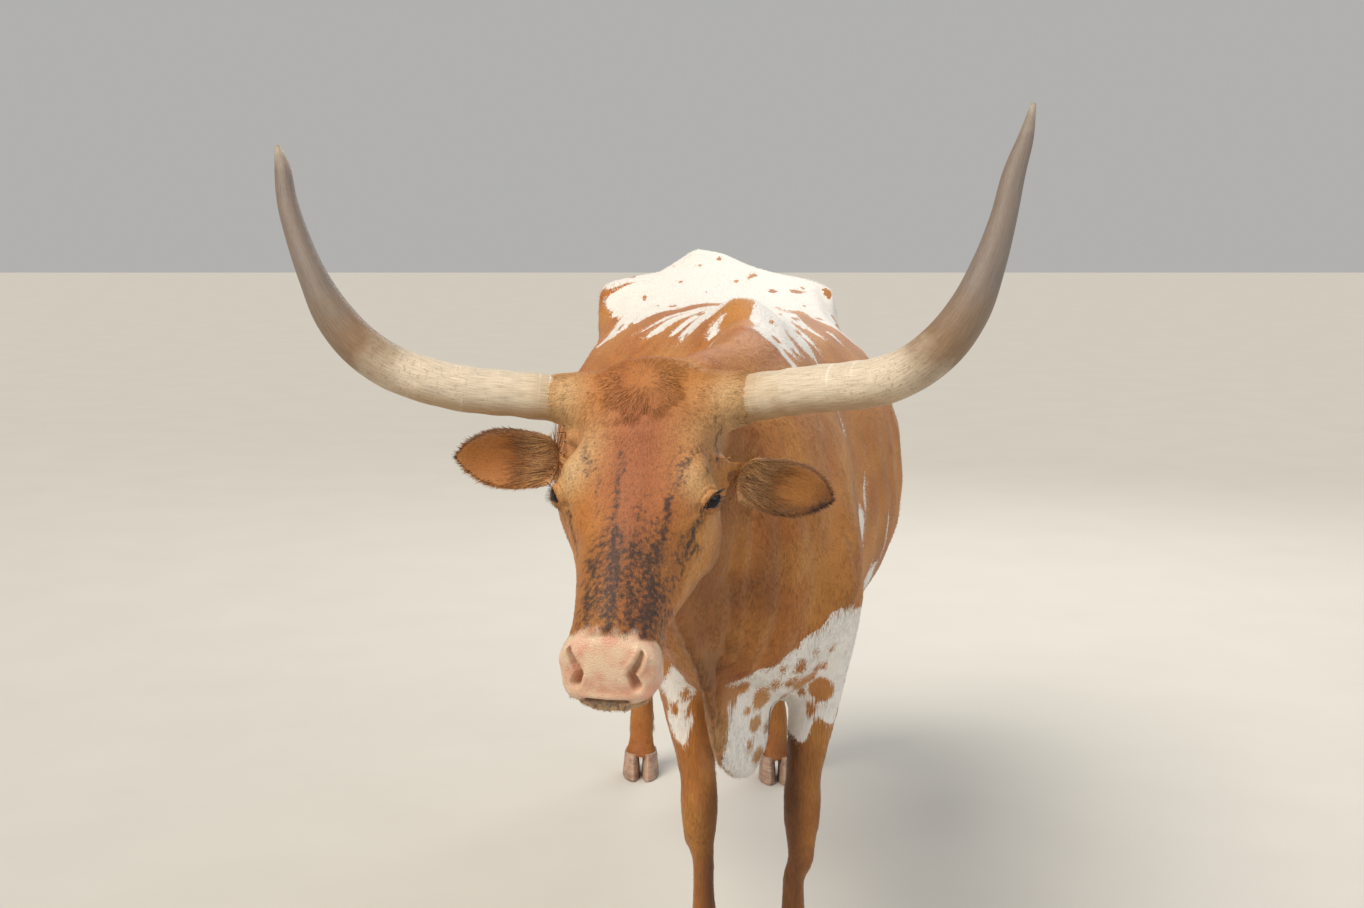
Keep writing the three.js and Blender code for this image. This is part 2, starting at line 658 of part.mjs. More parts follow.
function eyeball(sign, margin) {
  const centre = onHead(eyePlace.along, sign * eyePlace.left, eyePlace.out);
  const reach = eyeRadius + margin;
  return egg({ at: centre.toArray(), reach: [reach, reach, reach], detail: [14, 9] });
}

// Nostrils as comma-shaped hollows that run back and in from the front of the muzzle.
function nostril(sign) {
  const path = [
    { at: 450, left: 48, out: -18, r: 12 },
    { at: 434, left: 44, out: -32, r: 11 },
    { at: 418, left: 38, out: -46, r: 8 },
    { at: 406, left: 31, out: -54, r: 3 },
  ];
  const centres = path.map((p) => onHead(p.at, sign * p.left, p.out));
  return tube(centres, path.map((p) => p.r), 10, { flat: 1.5, across: headAxes.left });
}

// The line of the mouth: a thin slit from the front of the lips back to the corners.
function mouth() {
  const halfSlit = 0.9;
  const rings = spread(372, 480, 6).map((at) => outline({
    centre: onHead(at, 0, -106 - (at - 372) * 0.02),
    side: headAxes.left,
    up: headAxes.out,
    left: 90,
    right: 90,
    top: halfSlit,
    bottom: halfSlit,
    upper: 8,
    lower: 8,
  }, 8));
  return solid(loft(rings));
}

const headAxisRow = [headAxes.along, headAxes.left, headAxes.out];

// A form of the face on one side of its middle, or in the middle when sign is 0.
const faceForm = (sign, along, left, out, reach, by) => ({
  at: onHead(along, sign * left, out),
  axes: headAxisRow,
  reach,
  by: [by[0], (sign || 1) * by[1], by[2]],
});

function faceForms() {
  const paired = Object.values(sides).flatMap((sign) => [
    faceForm(sign, 160, 88, -16, [34, 30, 28], [0, 9, 10]), // brow
    faceForm(sign, 186, 98, -40, [40, 32, 36], [0, 17, 3]), // orbit
    faceForm(sign, 118, 100, -46, [40, 34, 34], [0, -6, 0]), // temple
    faceForm(sign, 252, 80, -50, [44, 32, 36], [0, -7, 0]), // hollow before the eye
    faceForm(sign, 214, 84, -146, [62, 44, 62], [0, 8, 0]), // cheek
    faceForm(sign, 428, 52, -28, [24, 20, 24], [3, 7, 6]), // wing of the nostril
    faceForm(sign, 458, 28, -94, [20, 26, 14], [5, 3, 0]), // upper lip
  ]);
  return [
    ...paired,
    faceForm(0, 300, 0, 0, [100, 26, 24], [0, 0, 6]), // ridge of the nose
    faceForm(0, -6, 0, 0, [40, 60, 44], [-8, 0, 4]), // poll
    faceForm(0, 432, 0, -130, [34, 34, 26], [2, 0, -9]), // chin
  ];
}

function skull() {
  const rings = crowded(-42, 475, 28).map((at) => {
    const s = station(headStations, at);
    return outline({
      centre: onHead(at, 0, s.mid),
      side: headAxes.left,
      up: headAxes.out,
      left: s.half,
      right: s.half,
      top: s.out - s.mid,
      bottom: s.under + s.mid,
      upper: s.upper,
      lower: s.lower,
    }, 26);
  });
  return solid(loft(swelled(rings, faceForms())));
}

// The tail hangs from the root of the back to the hocks, with a switch of long hair at its end.
const tailStations = [
  { at: 0, x: 49, y: 920, z: 1208, r: 34 },
  { at: 1, x: 50, y: 1000, z: 1188, r: 29 },
  { at: 2, x: 50, y: 1052, z: 1118, r: 24 },
  { at: 3, x: 50, y: 1080, z: 1006, r: 20 },
  { at: 4, x: 48, y: 1090, z: 876, r: 17 },
  { at: 5, x: 46, y: 1090, z: 750, r: 14 },
  { at: 6, x: 45, y: 1088, z: 640, r: 12 },
];
const tailEnd = tailStations[tailStations.length - 1];
const switchTop = 655;
const switchLength = 300;

function tail() {
  const ats = spread(0, 6, 15);
  const places = ats.map((at) => station(tailStations, at));
  const centres = places.map((p) => new Vector3(p.x, p.y, p.z));
  return tube(centres, places.map((p) => p.r), 10, { across: new Vector3(1, 0, 0) });
}

// The dock inside the switch, down to half of its length.
function switchCore() {
  const table = [
    { at: 0, z: switchTop - gap / 2, r: 12 },
    { at: 1, z: switchTop - 50, r: 16 },
    { at: 2, z: switchTop - 110, r: 15 },
    { at: 3, z: switchTop - switchLength / 2, r: 5 },
  ];
  const places = spread(0, 3, 7).map((at) => station(table, at));
  const centres = places.map((p) => new Vector3(tailEnd.x, tailEnd.y, p.z));
  return tube(centres, places.map((p) => p.r), 10, { across: new Vector3(1, 0, 0) });
}

// A small dry udder with four teats.
const udderPlace = new Vector3(67, 690, 690);
const teatSpread = new Vector3(30, 42, -68);

function udder() {
  const bag = egg({ at: udderPlace.toArray(), reach: [66, 104, 84], detail: [12, 7] });
  const teats = [-1, 1].flatMap((x) => [-1, 1].map((y) => egg({
    at: teatSpread.clone().multiply(new Vector3(x, y, 1)).add(udderPlace).toArray(),
    reach: [9, 9, 30],
    detail: [6, 5],
  })));
  return join(bag, teats);
}

// Draws between 0 and 1 that are the same on every run.
function draws(seed) {
  let state = seed;
  return () => {
    state = (state * 1664525 + 1013904223) % 4294967296;
    return state / 4294967296;
  };
}

// A flat lock of hair along its middle line, widest near its middle and drawn in to its tip.
// wide and thick are half sizes.
const lockTaper = [0.6, 1, 0.95, 0.7, 0.15];

function lock(centres, facing, wide, thick) {
  const taper = lockTaper.slice(lockTaper.length - centres.length);
  return tube(centres, taper.map((share) => share * wide), 4, { flat: thick / wide, across: facing });
}

// The hair of the switch: locks in tiers round the tail's end that hang, swell and draw in to their tips.
const switchLock = { wide: 23, thick: 7 };
const switchTiers = [
  { count: 4, root: 14, length: 180, reach: 32 },
  { count: 5, root: 62, length: 200, reach: 46 },
  { count: 4, root: 104, length: 204, reach: 30 },
];

function switchLocks() {
  const draw = draws(7);
  return switchTiers.flatMap(({ count, root, length, reach }, tier) => {
    const out = [7, 0.6 * reach, reach, 0.85 * reach, 0.4 * reach];
    return spread(0, count - 1, count).map((k) => {
      const angle = (2 * Math.PI * (k + 0.5 * tier)) / count + 0.3 * draw();
      const way = new Vector3(Math.cos(angle), Math.sin(angle), 0);
      const long = length * (0.88 + 0.24 * draw());
      const centres = out.map((distance, i) => {
        const fall = root + (long * i) / (out.length - 1);
        return new Vector3(tailEnd.x, tailEnd.y, switchTop - fall).addScaledVector(way, distance);
      });
      return lock(centres, way, switchLock.wide, switchLock.thick);
    });
  });
}

// A point on the front of the head, lifted off the skin.
function onForehead(along, left, lift) {
  const s = station(headStations, THREE.MathUtils.clamp(along, -42, 475));
  const fall = (1 - Math.min(Math.abs(left) / s.half, 0.98) ** s.upper) ** (1 / s.upper);
  return onHead(along, left, s.mid + (s.out - s.mid) * fall + lift);
}

// The tuft of the poll: locks that radiate from its whorl, over the poll and down the forehead.
const whorl = { along: 8, left: -12 };
const tuftLength = 62;
const tuftLock = { wide: 11, thick: 4.5 };

function tuftLocks() {
  const draw = draws(11);
  const count = 14;
  return spread(0, count - 1, count).map((k) => {
    const angle = (2 * Math.PI * k) / count;
    const down = Math.cos(angle);
    const long = tuftLength * (0.7 + 0.5 * Math.max(down, 0) + 0.2 * draw());
    const steps = [0.12, 0.4, 0.7, 1];
    const lifts = [-3, 5, 7, 9];
    const centres = steps.map((t, i) => onForehead(
      whorl.along + down * long * t * (down < 0 ? 0.55 : 1),
      whorl.left + Math.sin(angle) * long * t * 1.1,
      lifts[i],
    ));
    return lock(centres, headAxes.out, tuftLock.wide, tuftLock.thick);
  });
}

// Join the flesh.
const flesh = join(
  trunk(),
  uprightLoft(neckStations, 11, 20),
  uprightLoft(dewlapStations, 16, 10, { upper: 2.4, lower: 2.4 }),
  Object.keys(sides).flatMap((name) => Object.values(limbs).map((limb) => leg(limb, name))),
  skull(),
  tuftLocks(),
  Object.values(sides).map(lids),
  Object.keys(sides).map(hornSleeve),
  Object.keys(sides).map((name) => ear(name).subtract(block(earRegion(name), gap / 2))),
  tail(),
  udder(),
);

// Hollows for horns, eyes, nostrils and mouth.
const hollows = join(
  Object.keys(sides).map(hornHollow),
  Object.values(sides).map((sign) => eyeball(sign, gap)),
  Object.values(sides).map(lidOpening),
  Object.values(sides).map(nostril),
  mouth(),
);

// Where the flesh is parted. Each region takes its part out of what the regions before it left.
function legRegion(centre, sign, inner, front, back, top) {
  const middle = [centre + sign * inner, (front + back) / 2, top / 2];
  return { through: middle, facing: [-sign, 0, 0], reach: 300, width: back - front, height: top };
}

const foreLegTop = 604;
const tailRegionTop = 1350;
const hindLegTop = 790;
const regions = {
  head: { through: [-14, -748, 1000], facing: [0.37, 0.89, 0.27], reach: 600, width: 700, height: 760 },
  tail: {
    through: [50, 1030, (tailRegionTop + switchTop) / 2],
    facing: [0, -1, 0],
    reach: 300,
    width: 120,
    height: tailRegionTop - switchTop,
  },
  neck: { through: [78, -470, 900], facing: [0.1, 0.95, -0.3], reach: 500, width: 700, height: 1200 },
  foreleg_left: legRegion(foreCentre, 1, 54, -430, -196, foreLegTop),
  foreleg_right: legRegion(foreCentre, -1, 54, -430, -196, foreLegTop),
  udder: { through: [67, 690, 692], facing: [0, 0.001, 1], reach: 180, width: 144, height: 240 },
  hindleg_left: legRegion(hindCentre, 1, 10, 592, 1300, hindLegTop),
  hindleg_right: legRegion(hindCentre, -1, 10, 592, 1300, hindLegTop),
};

const parts = {};
let rest = flesh.subtract(hollows);
Object.entries(regions).forEach(([name, region]) => {
  parts[name] = largest(rest.intersect(block(region, -gap / 2)));
  rest = rest.subtract(block(region, gap / 2));
});
parts.torso = largest(rest);
parts.tail_switch = largest(join(switchCore(), switchLocks()));
Object.entries(sides).forEach(([name, sign]) => {
  parts[`ear_${name}`] = largest(ear(name).intersect(block(earRegion(name), -gap / 2)));
  parts[`horn_${name}`] = horn(name);
  parts[`eye_${name}`] = eyeball(sign, 0);
  Object.entries({ fore: limbs.foreleg, hind: limbs.hindleg }).forEach(([end, limb]) => {
    Object.entries({ inner: -sign, outer: sign }).forEach(([place, off]) => {
      parts[`claw_${end}_${name}_${place}`] = claw(limb, name, off);
    });
  });
});

// What each part is covered with.
const finishes = {
  hide: new THREE.MeshStandardMaterial({ color: 0xa8703c, roughness: 0.85, metalness: 0 }),
  horn: new THREE.MeshStandardMaterial({ color: 0xb9aa92, roughness: 0.5, metalness: 0 }),
  hoof: new THREE.MeshStandardMaterial({ color: 0x9a7460, roughness: 0.6, metalness: 0 }),
  eye: new THREE.MeshStandardMaterial({ color: 0x0c1012, roughness: 0.1, metalness: 0 }),
};
const finishOf = (name) => {
  if (name.startsWith('horn')) return finishes.horn;
  if (name.startsWith('claw')) return finishes.hoof;
  if (name.startsWith('eye')) return finishes.eye;
  return finishes.hide;
};

// The origin is on the floor under the middle of the animal's own box.
const longhorn = new THREE.Group();
Object.entries(parts).forEach(([name, piece]) => {
  const mesh = new THREE.Mesh(geometryOf(piece), finishOf(name));
  mesh.name = name;
  longhorn.add(mesh);
});
const middle = new THREE.Box3().setFromObject(longhorn).getCenter(new Vector3());
longhorn.position.set(-middle.x, -middle.y, 0);

export default longhorn;
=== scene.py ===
"""Dresses a life-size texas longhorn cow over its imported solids.

Metres, +Z up, nose towards -Y, the animal's left towards +X. One skin takes the place of the solids of flesh.
Over it lies the coat in joined tufts, and horns, hooves and eyes are pieces of their own.
"""
import logging
import math
from dataclasses import dataclass
from enum import Enum
from functools import cached_property
from itertools import product
from typing import Any, Callable, Iterable, Sequence

import bmesh
import bpy
import numpy as np
from mathutils import Matrix, Vector
from mathutils.kdtree import KDTree


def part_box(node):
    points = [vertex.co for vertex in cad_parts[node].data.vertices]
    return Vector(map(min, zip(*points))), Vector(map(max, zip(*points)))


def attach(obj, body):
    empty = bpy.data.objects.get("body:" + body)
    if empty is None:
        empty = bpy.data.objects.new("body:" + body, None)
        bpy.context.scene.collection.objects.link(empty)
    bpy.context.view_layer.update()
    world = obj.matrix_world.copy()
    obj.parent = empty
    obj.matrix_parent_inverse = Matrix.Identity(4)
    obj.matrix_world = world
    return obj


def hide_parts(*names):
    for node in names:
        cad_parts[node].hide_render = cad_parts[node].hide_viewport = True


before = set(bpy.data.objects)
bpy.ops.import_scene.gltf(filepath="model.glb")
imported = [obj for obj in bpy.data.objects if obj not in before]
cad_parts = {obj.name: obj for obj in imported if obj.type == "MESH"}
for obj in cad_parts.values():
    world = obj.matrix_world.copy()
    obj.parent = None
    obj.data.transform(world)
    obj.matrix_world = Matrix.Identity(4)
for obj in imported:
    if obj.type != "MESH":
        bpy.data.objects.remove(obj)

log = logging.getLogger("longhorn")

Rows = np.ndarray
BMesh = bmesh.types.BMesh
Mesh = bpy.types.Mesh
Piece = bpy.types.Object
Material = bpy.types.Material
Tree = bpy.types.NodeTree
Place = tuple[float, float, float]
Numbers = Callable[[Rows, Rows], dict[str, Rows]] | None

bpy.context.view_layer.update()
BODY = "root"
# A step inwards of the relaxing, the distance at which corners are one, and what keeps a divisor from 0.
PULL_IN = 0.5
MERGE = 1e-5
TINY = 1e-9
SIDES = {"left": 1.0, "right": -1.0}
FLESH_NODES = (
    "head", "neck", "torso", "udder", "tail",
    "foreleg_left", "foreleg_right", "hindleg_left", "hindleg_right",
)


class Slot(Enum):
    """The material slots."""

    HIDE = "hide"
    HAIR = "hair"
    BARE_SKIN = "bare_skin"
    HORN = "horn"
    HOOF = "hoof"
    EYE = "eye"


# Small helpers for numbers, meshes and objects.


def fade(values: Rows, start: float, end: float) -> Rows:
    """Turns numbers into a smooth rise from 0 at start to 1 at end."""
    t = np.clip((values - start) / (end - start), 0.0, 1.0)
    return t * t * (3.0 - 2.0 * t)


def unit(vectors: Rows) -> Rows:
    """Scales each row to length one."""
    length = np.linalg.norm(vectors, axis=-1, keepdims=True)
    return vectors / np.maximum(length, TINY)


def read_rows(items: Any, name: str, width: int, kind: type = float) -> Rows:
    """Reads one property of many items, as rows of so many numbers."""
    flat = np.empty(len(items) * width, dtype=kind)
    items.foreach_get(name, flat)
    return flat.reshape(-1, width)


def read_points(mesh: Mesh) -> Rows:
    """Reads the vertices of a mesh as rows of x, y, z."""
    return read_rows(mesh.vertices, "co", 3)


def write_points(mesh: Mesh, points: Rows) -> None:
    """Moves the vertices of a mesh to the given rows."""
    mesh.vertices.foreach_set("co", points.ravel())
    mesh.update()


def read_normals(mesh: Mesh) -> Rows:
    """Reads the vertex normals of a mesh."""
    return read_rows(mesh.vertex_normals, "vector", 3)


def write_numbers(mesh: Mesh, name: str, values: Rows) -> None:
    """Stores up to four numbers for each vertex under a name that a material can read.

    Args:
        mesh: The mesh that keeps them.
        name: The attribute's name.
        values: One row for each vertex, with one to four columns.
    """
    rows = np.zeros((len(mesh.vertices), 4))
    rows[:, :values.shape[1]] = values
    mesh.attributes.new(name, "FLOAT_COLOR", "POINT").data.foreach_set("color", rows.ravel())


def mesh_from(bm: BMesh, name: str) -> Mesh:
    """Turns a bmesh into a smooth-shaded mesh and frees it."""
    for face in bm.faces:
        face.smooth = True
    mesh = bpy.data.meshes.new(name)
    bm.to_mesh(mesh)
    bm.free()
    return mesh


def show(mesh: Mesh, name: str) -> Piece:
    """Links a mesh to the scene as an object at the origin."""
    piece = bpy.data.objects.new(name, mesh)
    bpy.context.scene.collection.objects.link(piece)
    return piece


def finish_piece(piece: Piece, material: Material, slot: Slot, *nodes: str) -> None:
    """Gives a piece its material and body, and hides the nodes that it stands for.

    Args:
        piece: The finished object.
        material: What it is covered with.
        slot: The material slot. Not used.
        nodes: The CAD nodes that it takes the place of.
    """
    piece.data.materials.clear()
    piece.data.materials.append(material)
    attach(piece, BODY)
    if nodes:
        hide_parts(*nodes)
    log.info("%s: %d faces", piece.name, len(piece.data.polygons))


def baked(piece: Piece) -> Mesh:
    """Returns the piece's mesh with its modifiers applied, and removes the piece."""
    depsgraph = bpy.context.evaluated_depsgraph_get()
    mesh = bpy.data.meshes.new_from_object(piece.evaluated_get(depsgraph))
    old = piece.data
    bpy.data.objects.remove(piece)
    bpy.data.meshes.remove(old)
    return mesh


def node_copy(name: str) -> BMesh:
    """Copies a CAD node into a bmesh and merges its loose triangles."""
    bm = bmesh.new()
    bm.from_mesh(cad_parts[name].data)
    bmesh.ops.remove_doubles(bm, verts=bm.verts, dist=MERGE)
    return bm


def tube(
    bm: BMesh, places: Rows, radii: Sequence[float], segments: int, side: Vector,
    closed: bool = False,
) -> None:
    """Draws a round tube along places, ring by ring, with its vertices in the order of the rings.

    Args:
        bm: The bmesh to draw it in.
        places: The middles of its rings.
        radii: The radius of each ring.
        segments: How many vertices a ring has.
        side: A way that the first vertex of each ring faces, roughly.
        closed: Whether the last ring joins the first. Otherwise both ends are capped.
    """
    rings = []
    count = len(places)
    for index, (place, radius) in enumerate(zip(places, radii)):
        ahead = places[(index + 1) % count] if closed or index + 1 < count else place
        behind = places[index - 1] if closed or index else place
        way = Vector(ahead - behind).normalized()
        side = (side - way * side.dot(way)).normalized()
        turn = Matrix((side, way.cross(side), way)).transposed().to_4x4()
        ring = bmesh.ops.create_circle(
            bm, segments=segments, radius=radius, matrix=Matrix.Translation(Vector(place)) @ turn,
        )["verts"]
        rings.append(list({edge for vert in ring for edge in vert.link_edges}))
    for index in range(count if closed else count - 1):
        bmesh.ops.bridge_loops(bm, edges=rings[index] + rings[(index + 1) % count])
    if not closed:
        for ring in (rings[0], rings[-1]):
            bmesh.ops.edgeloop_fill(bm, edges=ring)


def relax(mesh: Mesh, rounds: int, weight: Rows, let_out: float = -0.53) -> None:
    """Evens out facets and steps without shrinking the form.

    Args:
        mesh: The mesh to even out.
        rounds: How many times it is pulled in and let out again.
        weight: For each vertex, how much of each pull it takes, from 0 to 1.
        let_out: How far each pull is let out again. At 0 the form shrinks flat.
    """
    points = read_points(mesh)
    first, second = read_rows(mesh.edges, "vertices", 2, np.int64).T
    count = len(points)
    ends = np.concatenate([first, second])
    others = np.concatenate([second, first])
    neighbours = np.maximum(np.bincount(ends, minlength=count), 1)
    for _ in range(rounds):
        for pull in (PULL_IN, let_out):
            sums = [np.bincount(ends, column, count) for column in points[others].T]
            middle = np.stack(sums, axis=1) / neighbours[:, None]
            points += pull * weight[:, None] * (middle - points)
    write_points(mesh, points)


class Grain:
    """Smooth seeded noise in space, between -1 and 1."""

    def __init__(self, seed: int, cells: int = 24) -> None:
        """Fills a lattice of draws that repeats in every direction."""
        self.cells = cells
        self.lattice = np.random.default_rng(seed).uniform(-1.0, 1.0, (cells, cells, cells))

    def at(self, points: Rows, size: float | Sequence[float]) -> Rows:
        """Reads the noise.

        Args:
            points: Rows of x, y, z.
            size: The size of one lump, or its sizes along x, y and z.

        Returns:
            One number for each row.
        """
        scaled = points / np.asarray(size)
        base = np.floor(scaled).astype(int)
        t = scaled - base
        t = t * t * (3.0 - 2.0 * t)
        total = np.zeros(len(points))
        for corner in product((0, 1), repeat=3):
            picked = np.asarray(corner, dtype=bool)
            share = np.prod(np.where(picked, t, 1.0 - t), axis=1)
            index = (base + picked) % self.cells
            total += share * self.lattice[index[:, 0], index[:, 1], index[:, 2]]
        return total


@dataclass(frozen=True)
class HeadFrame:
    """The head's own axes, and the floor origin that the body's places are measured from."""

    yaw: float = math.radians(14.0)
    pitch: float = math.radians(54.0)
    eye_along: float = 0.184
    eye_out: float = -0.035
    poll_place: Place = (-0.044, -0.840, 1.180)

    @cached_property
    def along(self) -> Vector:
        """Down the face to the muzzle."""
        level = math.cos(self.pitch)
        return Vector((-math.sin(self.yaw) * level, -math.cos(self.yaw) * level, -math.sin(self.pitch)))

    @cached_property
    def out(self) -> Vector:
        """Out of the forehead."""
        level = math.sin(self.pitch)
        return Vector((-math.sin(self.yaw) * level, -math.cos(self.yaw) * level, math.cos(self.pitch)))

    @cached_property
    def left(self) -> Vector:
        """To the animal's left."""
        return Vector((math.cos(self.yaw), -math.sin(self.yaw), 0.0))

    @cached_property
    def forward(self) -> Vector:
        """The way the head faces, level."""
        return Vector((-math.sin(self.yaw), -math.cos(self.yaw), 0.0))

    @cached_property
    def poll(self) -> Vector:
        """The top of the head between the horns, found from the frame's eyes."""
        eyes = [sum(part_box(f"eye_{side}"), Vector()) / 2 for side in SIDES]
        return (eyes[0] + eyes[1]) / 2 - self.along * self.eye_along - self.out * self.eye_out

    @cached_property
    def origin(self) -> Vector:
        """The point on the floor that body places count from."""
        return self.poll - Vector(self.poll_place)

    def place(self, along: float, left: float, out: float) -> Vector:
        """A place on the head by its distances from the poll."""
        return self.poll + self.along * along + self.left * left + self.out * out

    def beside(self, sign: float, side: float, forward: float, up: float) -> Vector:
        """A place beside the poll, out to one side, forward and up."""
        return self.poll + self.left * (sign * side) + self.forward * forward + Vector((0.0, 0.0, up))

    def local(self, points: Rows) -> Rows:
        """Turns places into rows of along, left and out from the poll."""
        away = points - np.array(self.poll)
        return away @ np.array([self.along, self.left, self.out]).T

    def on_body(self, points: Rows) -> Rows:
        """Turns places into rows measured from the body's own floor origin."""
        return points - np.array(self.origin)


HEAD = HeadFrame()


# Materials.


def linear(hex_code: str) -> tuple[float, float, float, float]:
    """Turns an sRGB colour such as #C08850 into the linear colour that a shader takes."""
    shares = [int(hex_code[i:i + 2], 16) / 255.0 for i in (1, 3, 5)]
    bent = [s / 12.92 if s <= 0.04045 else ((s + 0.055) / 1.055) ** 2.4 for s in shares]
    return (bent[0], bent[1], bent[2], 1.0)


def plug(tree: Tree, node: Any, inputs: dict[str | int, Any]) -> None:
    """Sets a node's inputs.

    Args:
        tree: The material's node tree.
        node: The node.
        inputs: For each input, a value to set, or another node or its output to link.
    """
    for key, value in inputs.items():
        if isinstance(value, bpy.types.Node):
            value = next(socket for socket in value.outputs if socket.enabled)
        if isinstance(value, bpy.types.NodeSocket):
            tree.links.new(value, node.inputs[key])
        else:
            node.inputs[key].default_value = value


def add(tree: Tree, kind: str, inputs: dict[str | int, Any] | None = None, **settings: Any) -> Any:
    """Adds a node to a tree.

    Args:
        tree: The material's node tree.
        kind: The node's type name, without the ShaderNode that all begin with.
        inputs: For each input, a value to set, or another node or its output to link.
        settings: The node's own settings.

    Returns:
        The new node.
    """
    made = tree.nodes.new("ShaderNode" + kind)
    for name, value in settings.items():
        setattr(made, name, value)
    plug(tree, made, inputs or {})
    return made


def layered(tree: Tree, lowest: Any, *layers: tuple[Any, Any]) -> Any:
    """Lays colours over one another.

    Args:
        tree: The material's node tree.
        lowest: The lowest colour, as a hex code or a node.
        layers: For each colour over it, its share and the colour.

    Returns:
        The last node.
    """
    colour = lowest
    for share, shade in layers:
        below, above = (linear(one) if isinstance(one, str) else one for one in (colour, shade))
        colour = add(tree, "Mix", {0: share, 6: below, 7: above}, data_type="RGBA")
    return colour


def new_material(name: str) -> tuple[Material, Tree, Any]:
    """Makes a material with a bare Principled shader.

    Returns:
        The material, its tree and its shader.
    """
    material = bpy.data.materials.new(name)
    material.use_nodes = True
    tree = material.node_tree
    return material, tree, tree.nodes["Principled BSDF"]


@dataclass(frozen=True)
class HideFinish:
    """Short glossy cattle hair over skin. Fine streaks run along the lie of the hair.

    Real hairs, 0.05 mm thick, are too fine to show, so the streaks are drawn as coarse as small locks.
    """

    brown: str = "#AE6724"
    gold: str = "#C28238"
    # Deep brown, laid both as darker hair and as painted shade under the throat and jaw, inside the legs and
    # down the left foreleg.
    deep: str = "#5A3210"
    rust: str = "#A25E34"
    # Pale cream, also laid as painted light on the chin.
    pale: str = "#D0B080"
    white: str = "#ECE8E2"
    dark: str = "#272020"
    pink: str = "#D09C82"
    cream: str = "#D9BCA0"
    dot: str = "#8A6248"
    # Painted shade for the nostrils and the crease between the lips.
    hollow: str = "#4E2A22"
    strand_mm: float = 2.2
    strand_length_mm: float = 26.0
    brindle_mm: float = 6.0
    brindle_length_mm: float = 15.0
    name: str = "cattle_hide_short_hair"

    def make(self) -> Material:
        """Builds the material."""
        material, tree, shader = new_material(self.name)
        coords = add(tree, "TexCoord").outputs["Object"]
        marked = add(tree, "Attribute", attribute_name="marks").outputs
        kept = [marked["Color"]]
        kept += [add(tree, "Attribute", attribute_name=name) for name in ("tones", "lie", "strand")]
        mark, tone, region, hair = (add(tree, "SeparateColor", {"Color": one}).outputs for one in kept)
        streaks = self.streaks(tree, coords, region)
        colour = self.marked(tree, self.coat_colour(tree, coords, streaks, tone), mark, streaks, coords)
        # Painted shade in the nostrils and along the crease between the lips, from the fourth column of
        # marks.
        colour = layered(tree, colour, (marked["Alpha"], self.hollow))
        worn = add(tree, "MapRange", {"Value": hair[0], "To Min": 0.90, "To Max": 1.12})
        rooted = add(tree, "MapRange", {"Value": hair[1], "To Min": 0.90, "To Max": 1.06})
        bright = add(tree, "Math", {0: worn, 1: rooted}, operation="MULTIPLY")
        lit = add(tree, "VectorMath", {0: colour, "Scale": bright}, operation="SCALE")
        rough = add(tree, "MapRange", {"Value": mark[2], "To Min": 0.62, "To Max": 0.42})
        # Pores of the bare muzzle, 2.4 mm apart.
        pores = add(tree, "TexVoronoi", {"Vector": coords, "Scale": 420.0})
        relief = add(tree, "Mix", {0: mark[2], 2: streaks, 3: pores}, data_type="FLOAT")
        bump = add(tree, "Bump", {"Height": relief, "Strength": 0.45, "Distance": 0.0016})
        plug(tree, shader, {
            "Base Color": lit, "Roughness": rough, "IOR": 1.5, "Sheen Weight": 0.12,
            "Sheen Roughness": 0.4, "Normal": bump,
        })
        return material

    def streaks(self, tree: Tree, coords: Any, region: Any) -> Any:
        """Noise drawn out along the hair: backwards on the body, down on the legs, down the face on the head.

        Args:
            tree: The material's tree.
            coords: Object coordinates.
            region: How much of each place is head, leg or chest, and neck.

        Returns:
            The node of the mixed noise.
        """
        across, lengthwise = 1000.0 / self.strand_mm, 1000.0 / self.strand_length_mm
        turned = {
            "body": ((0.0, 0.0, 0.0), (across, lengthwise, across)),
            "down": ((0.0, 0.0, 0.0), (across, across, lengthwise)),
            "neck": ((math.pi / 4, 0.0, 0.0), (across, lengthwise, across)),
            "head": ((HEAD.pitch, 0.0, -HEAD.yaw), (across, lengthwise, across)),
        }
        noise = {}
        for part, (rotation, scale) in turned.items():
            turn = add(tree, "Mapping", {"Vector": coords, "Rotation": rotation}, vector_type="POINT")
            drawn = add(tree, "VectorMath", {0: turn, 1: scale}, operation="MULTIPLY")
            noise[part] = add(tree, "TexNoise", {
                "Vector": drawn, "Scale": 1.0, "Detail": 2.0, "Roughness": 0.6, "Distortion": 0.3,
            })
        mixed = noise["body"]
        for share, part in ((region[2], "neck"), (region[1], "down"), (region[0], "head")):
            mixed = add(tree, "Mix", {0: share, 2: mixed, 3: noise[part]}, data_type="FLOAT")
        return mixed

    def coat_colour(self, tree: Tree, coords: Any, streaks: Any, tone: Any) -> Any:
        """Mixes the browns of the coat: clouds 110 mm wide, fine streaks, rust, pale parts that include
        painted light on the chin, and deep parts that include painted shade.

        Returns:
            The node of the colour.
        """
        broad = add(tree, "TexNoise", {"Vector": coords, "Scale": 9.0, "Detail": 3.0})
        cloud = add(tree, "MapRange", {"Value": broad, "From Min": 0.35, "From Max": 0.65})
        colour = layered(
            tree, self.brown, (cloud, self.gold),
            (tone[0], self.rust), (tone[1], self.pale), (tone[2], self.deep),
        )
        shadow = add(tree, "MapRange", {
            "Value": streaks, "From Min": 0.3, "From Max": 0.62, "To Min": 0.72, "To Max": 1.1,
        })
        return add(tree, "VectorMath", {0: colour, "Scale": shadow}, operation="SCALE")

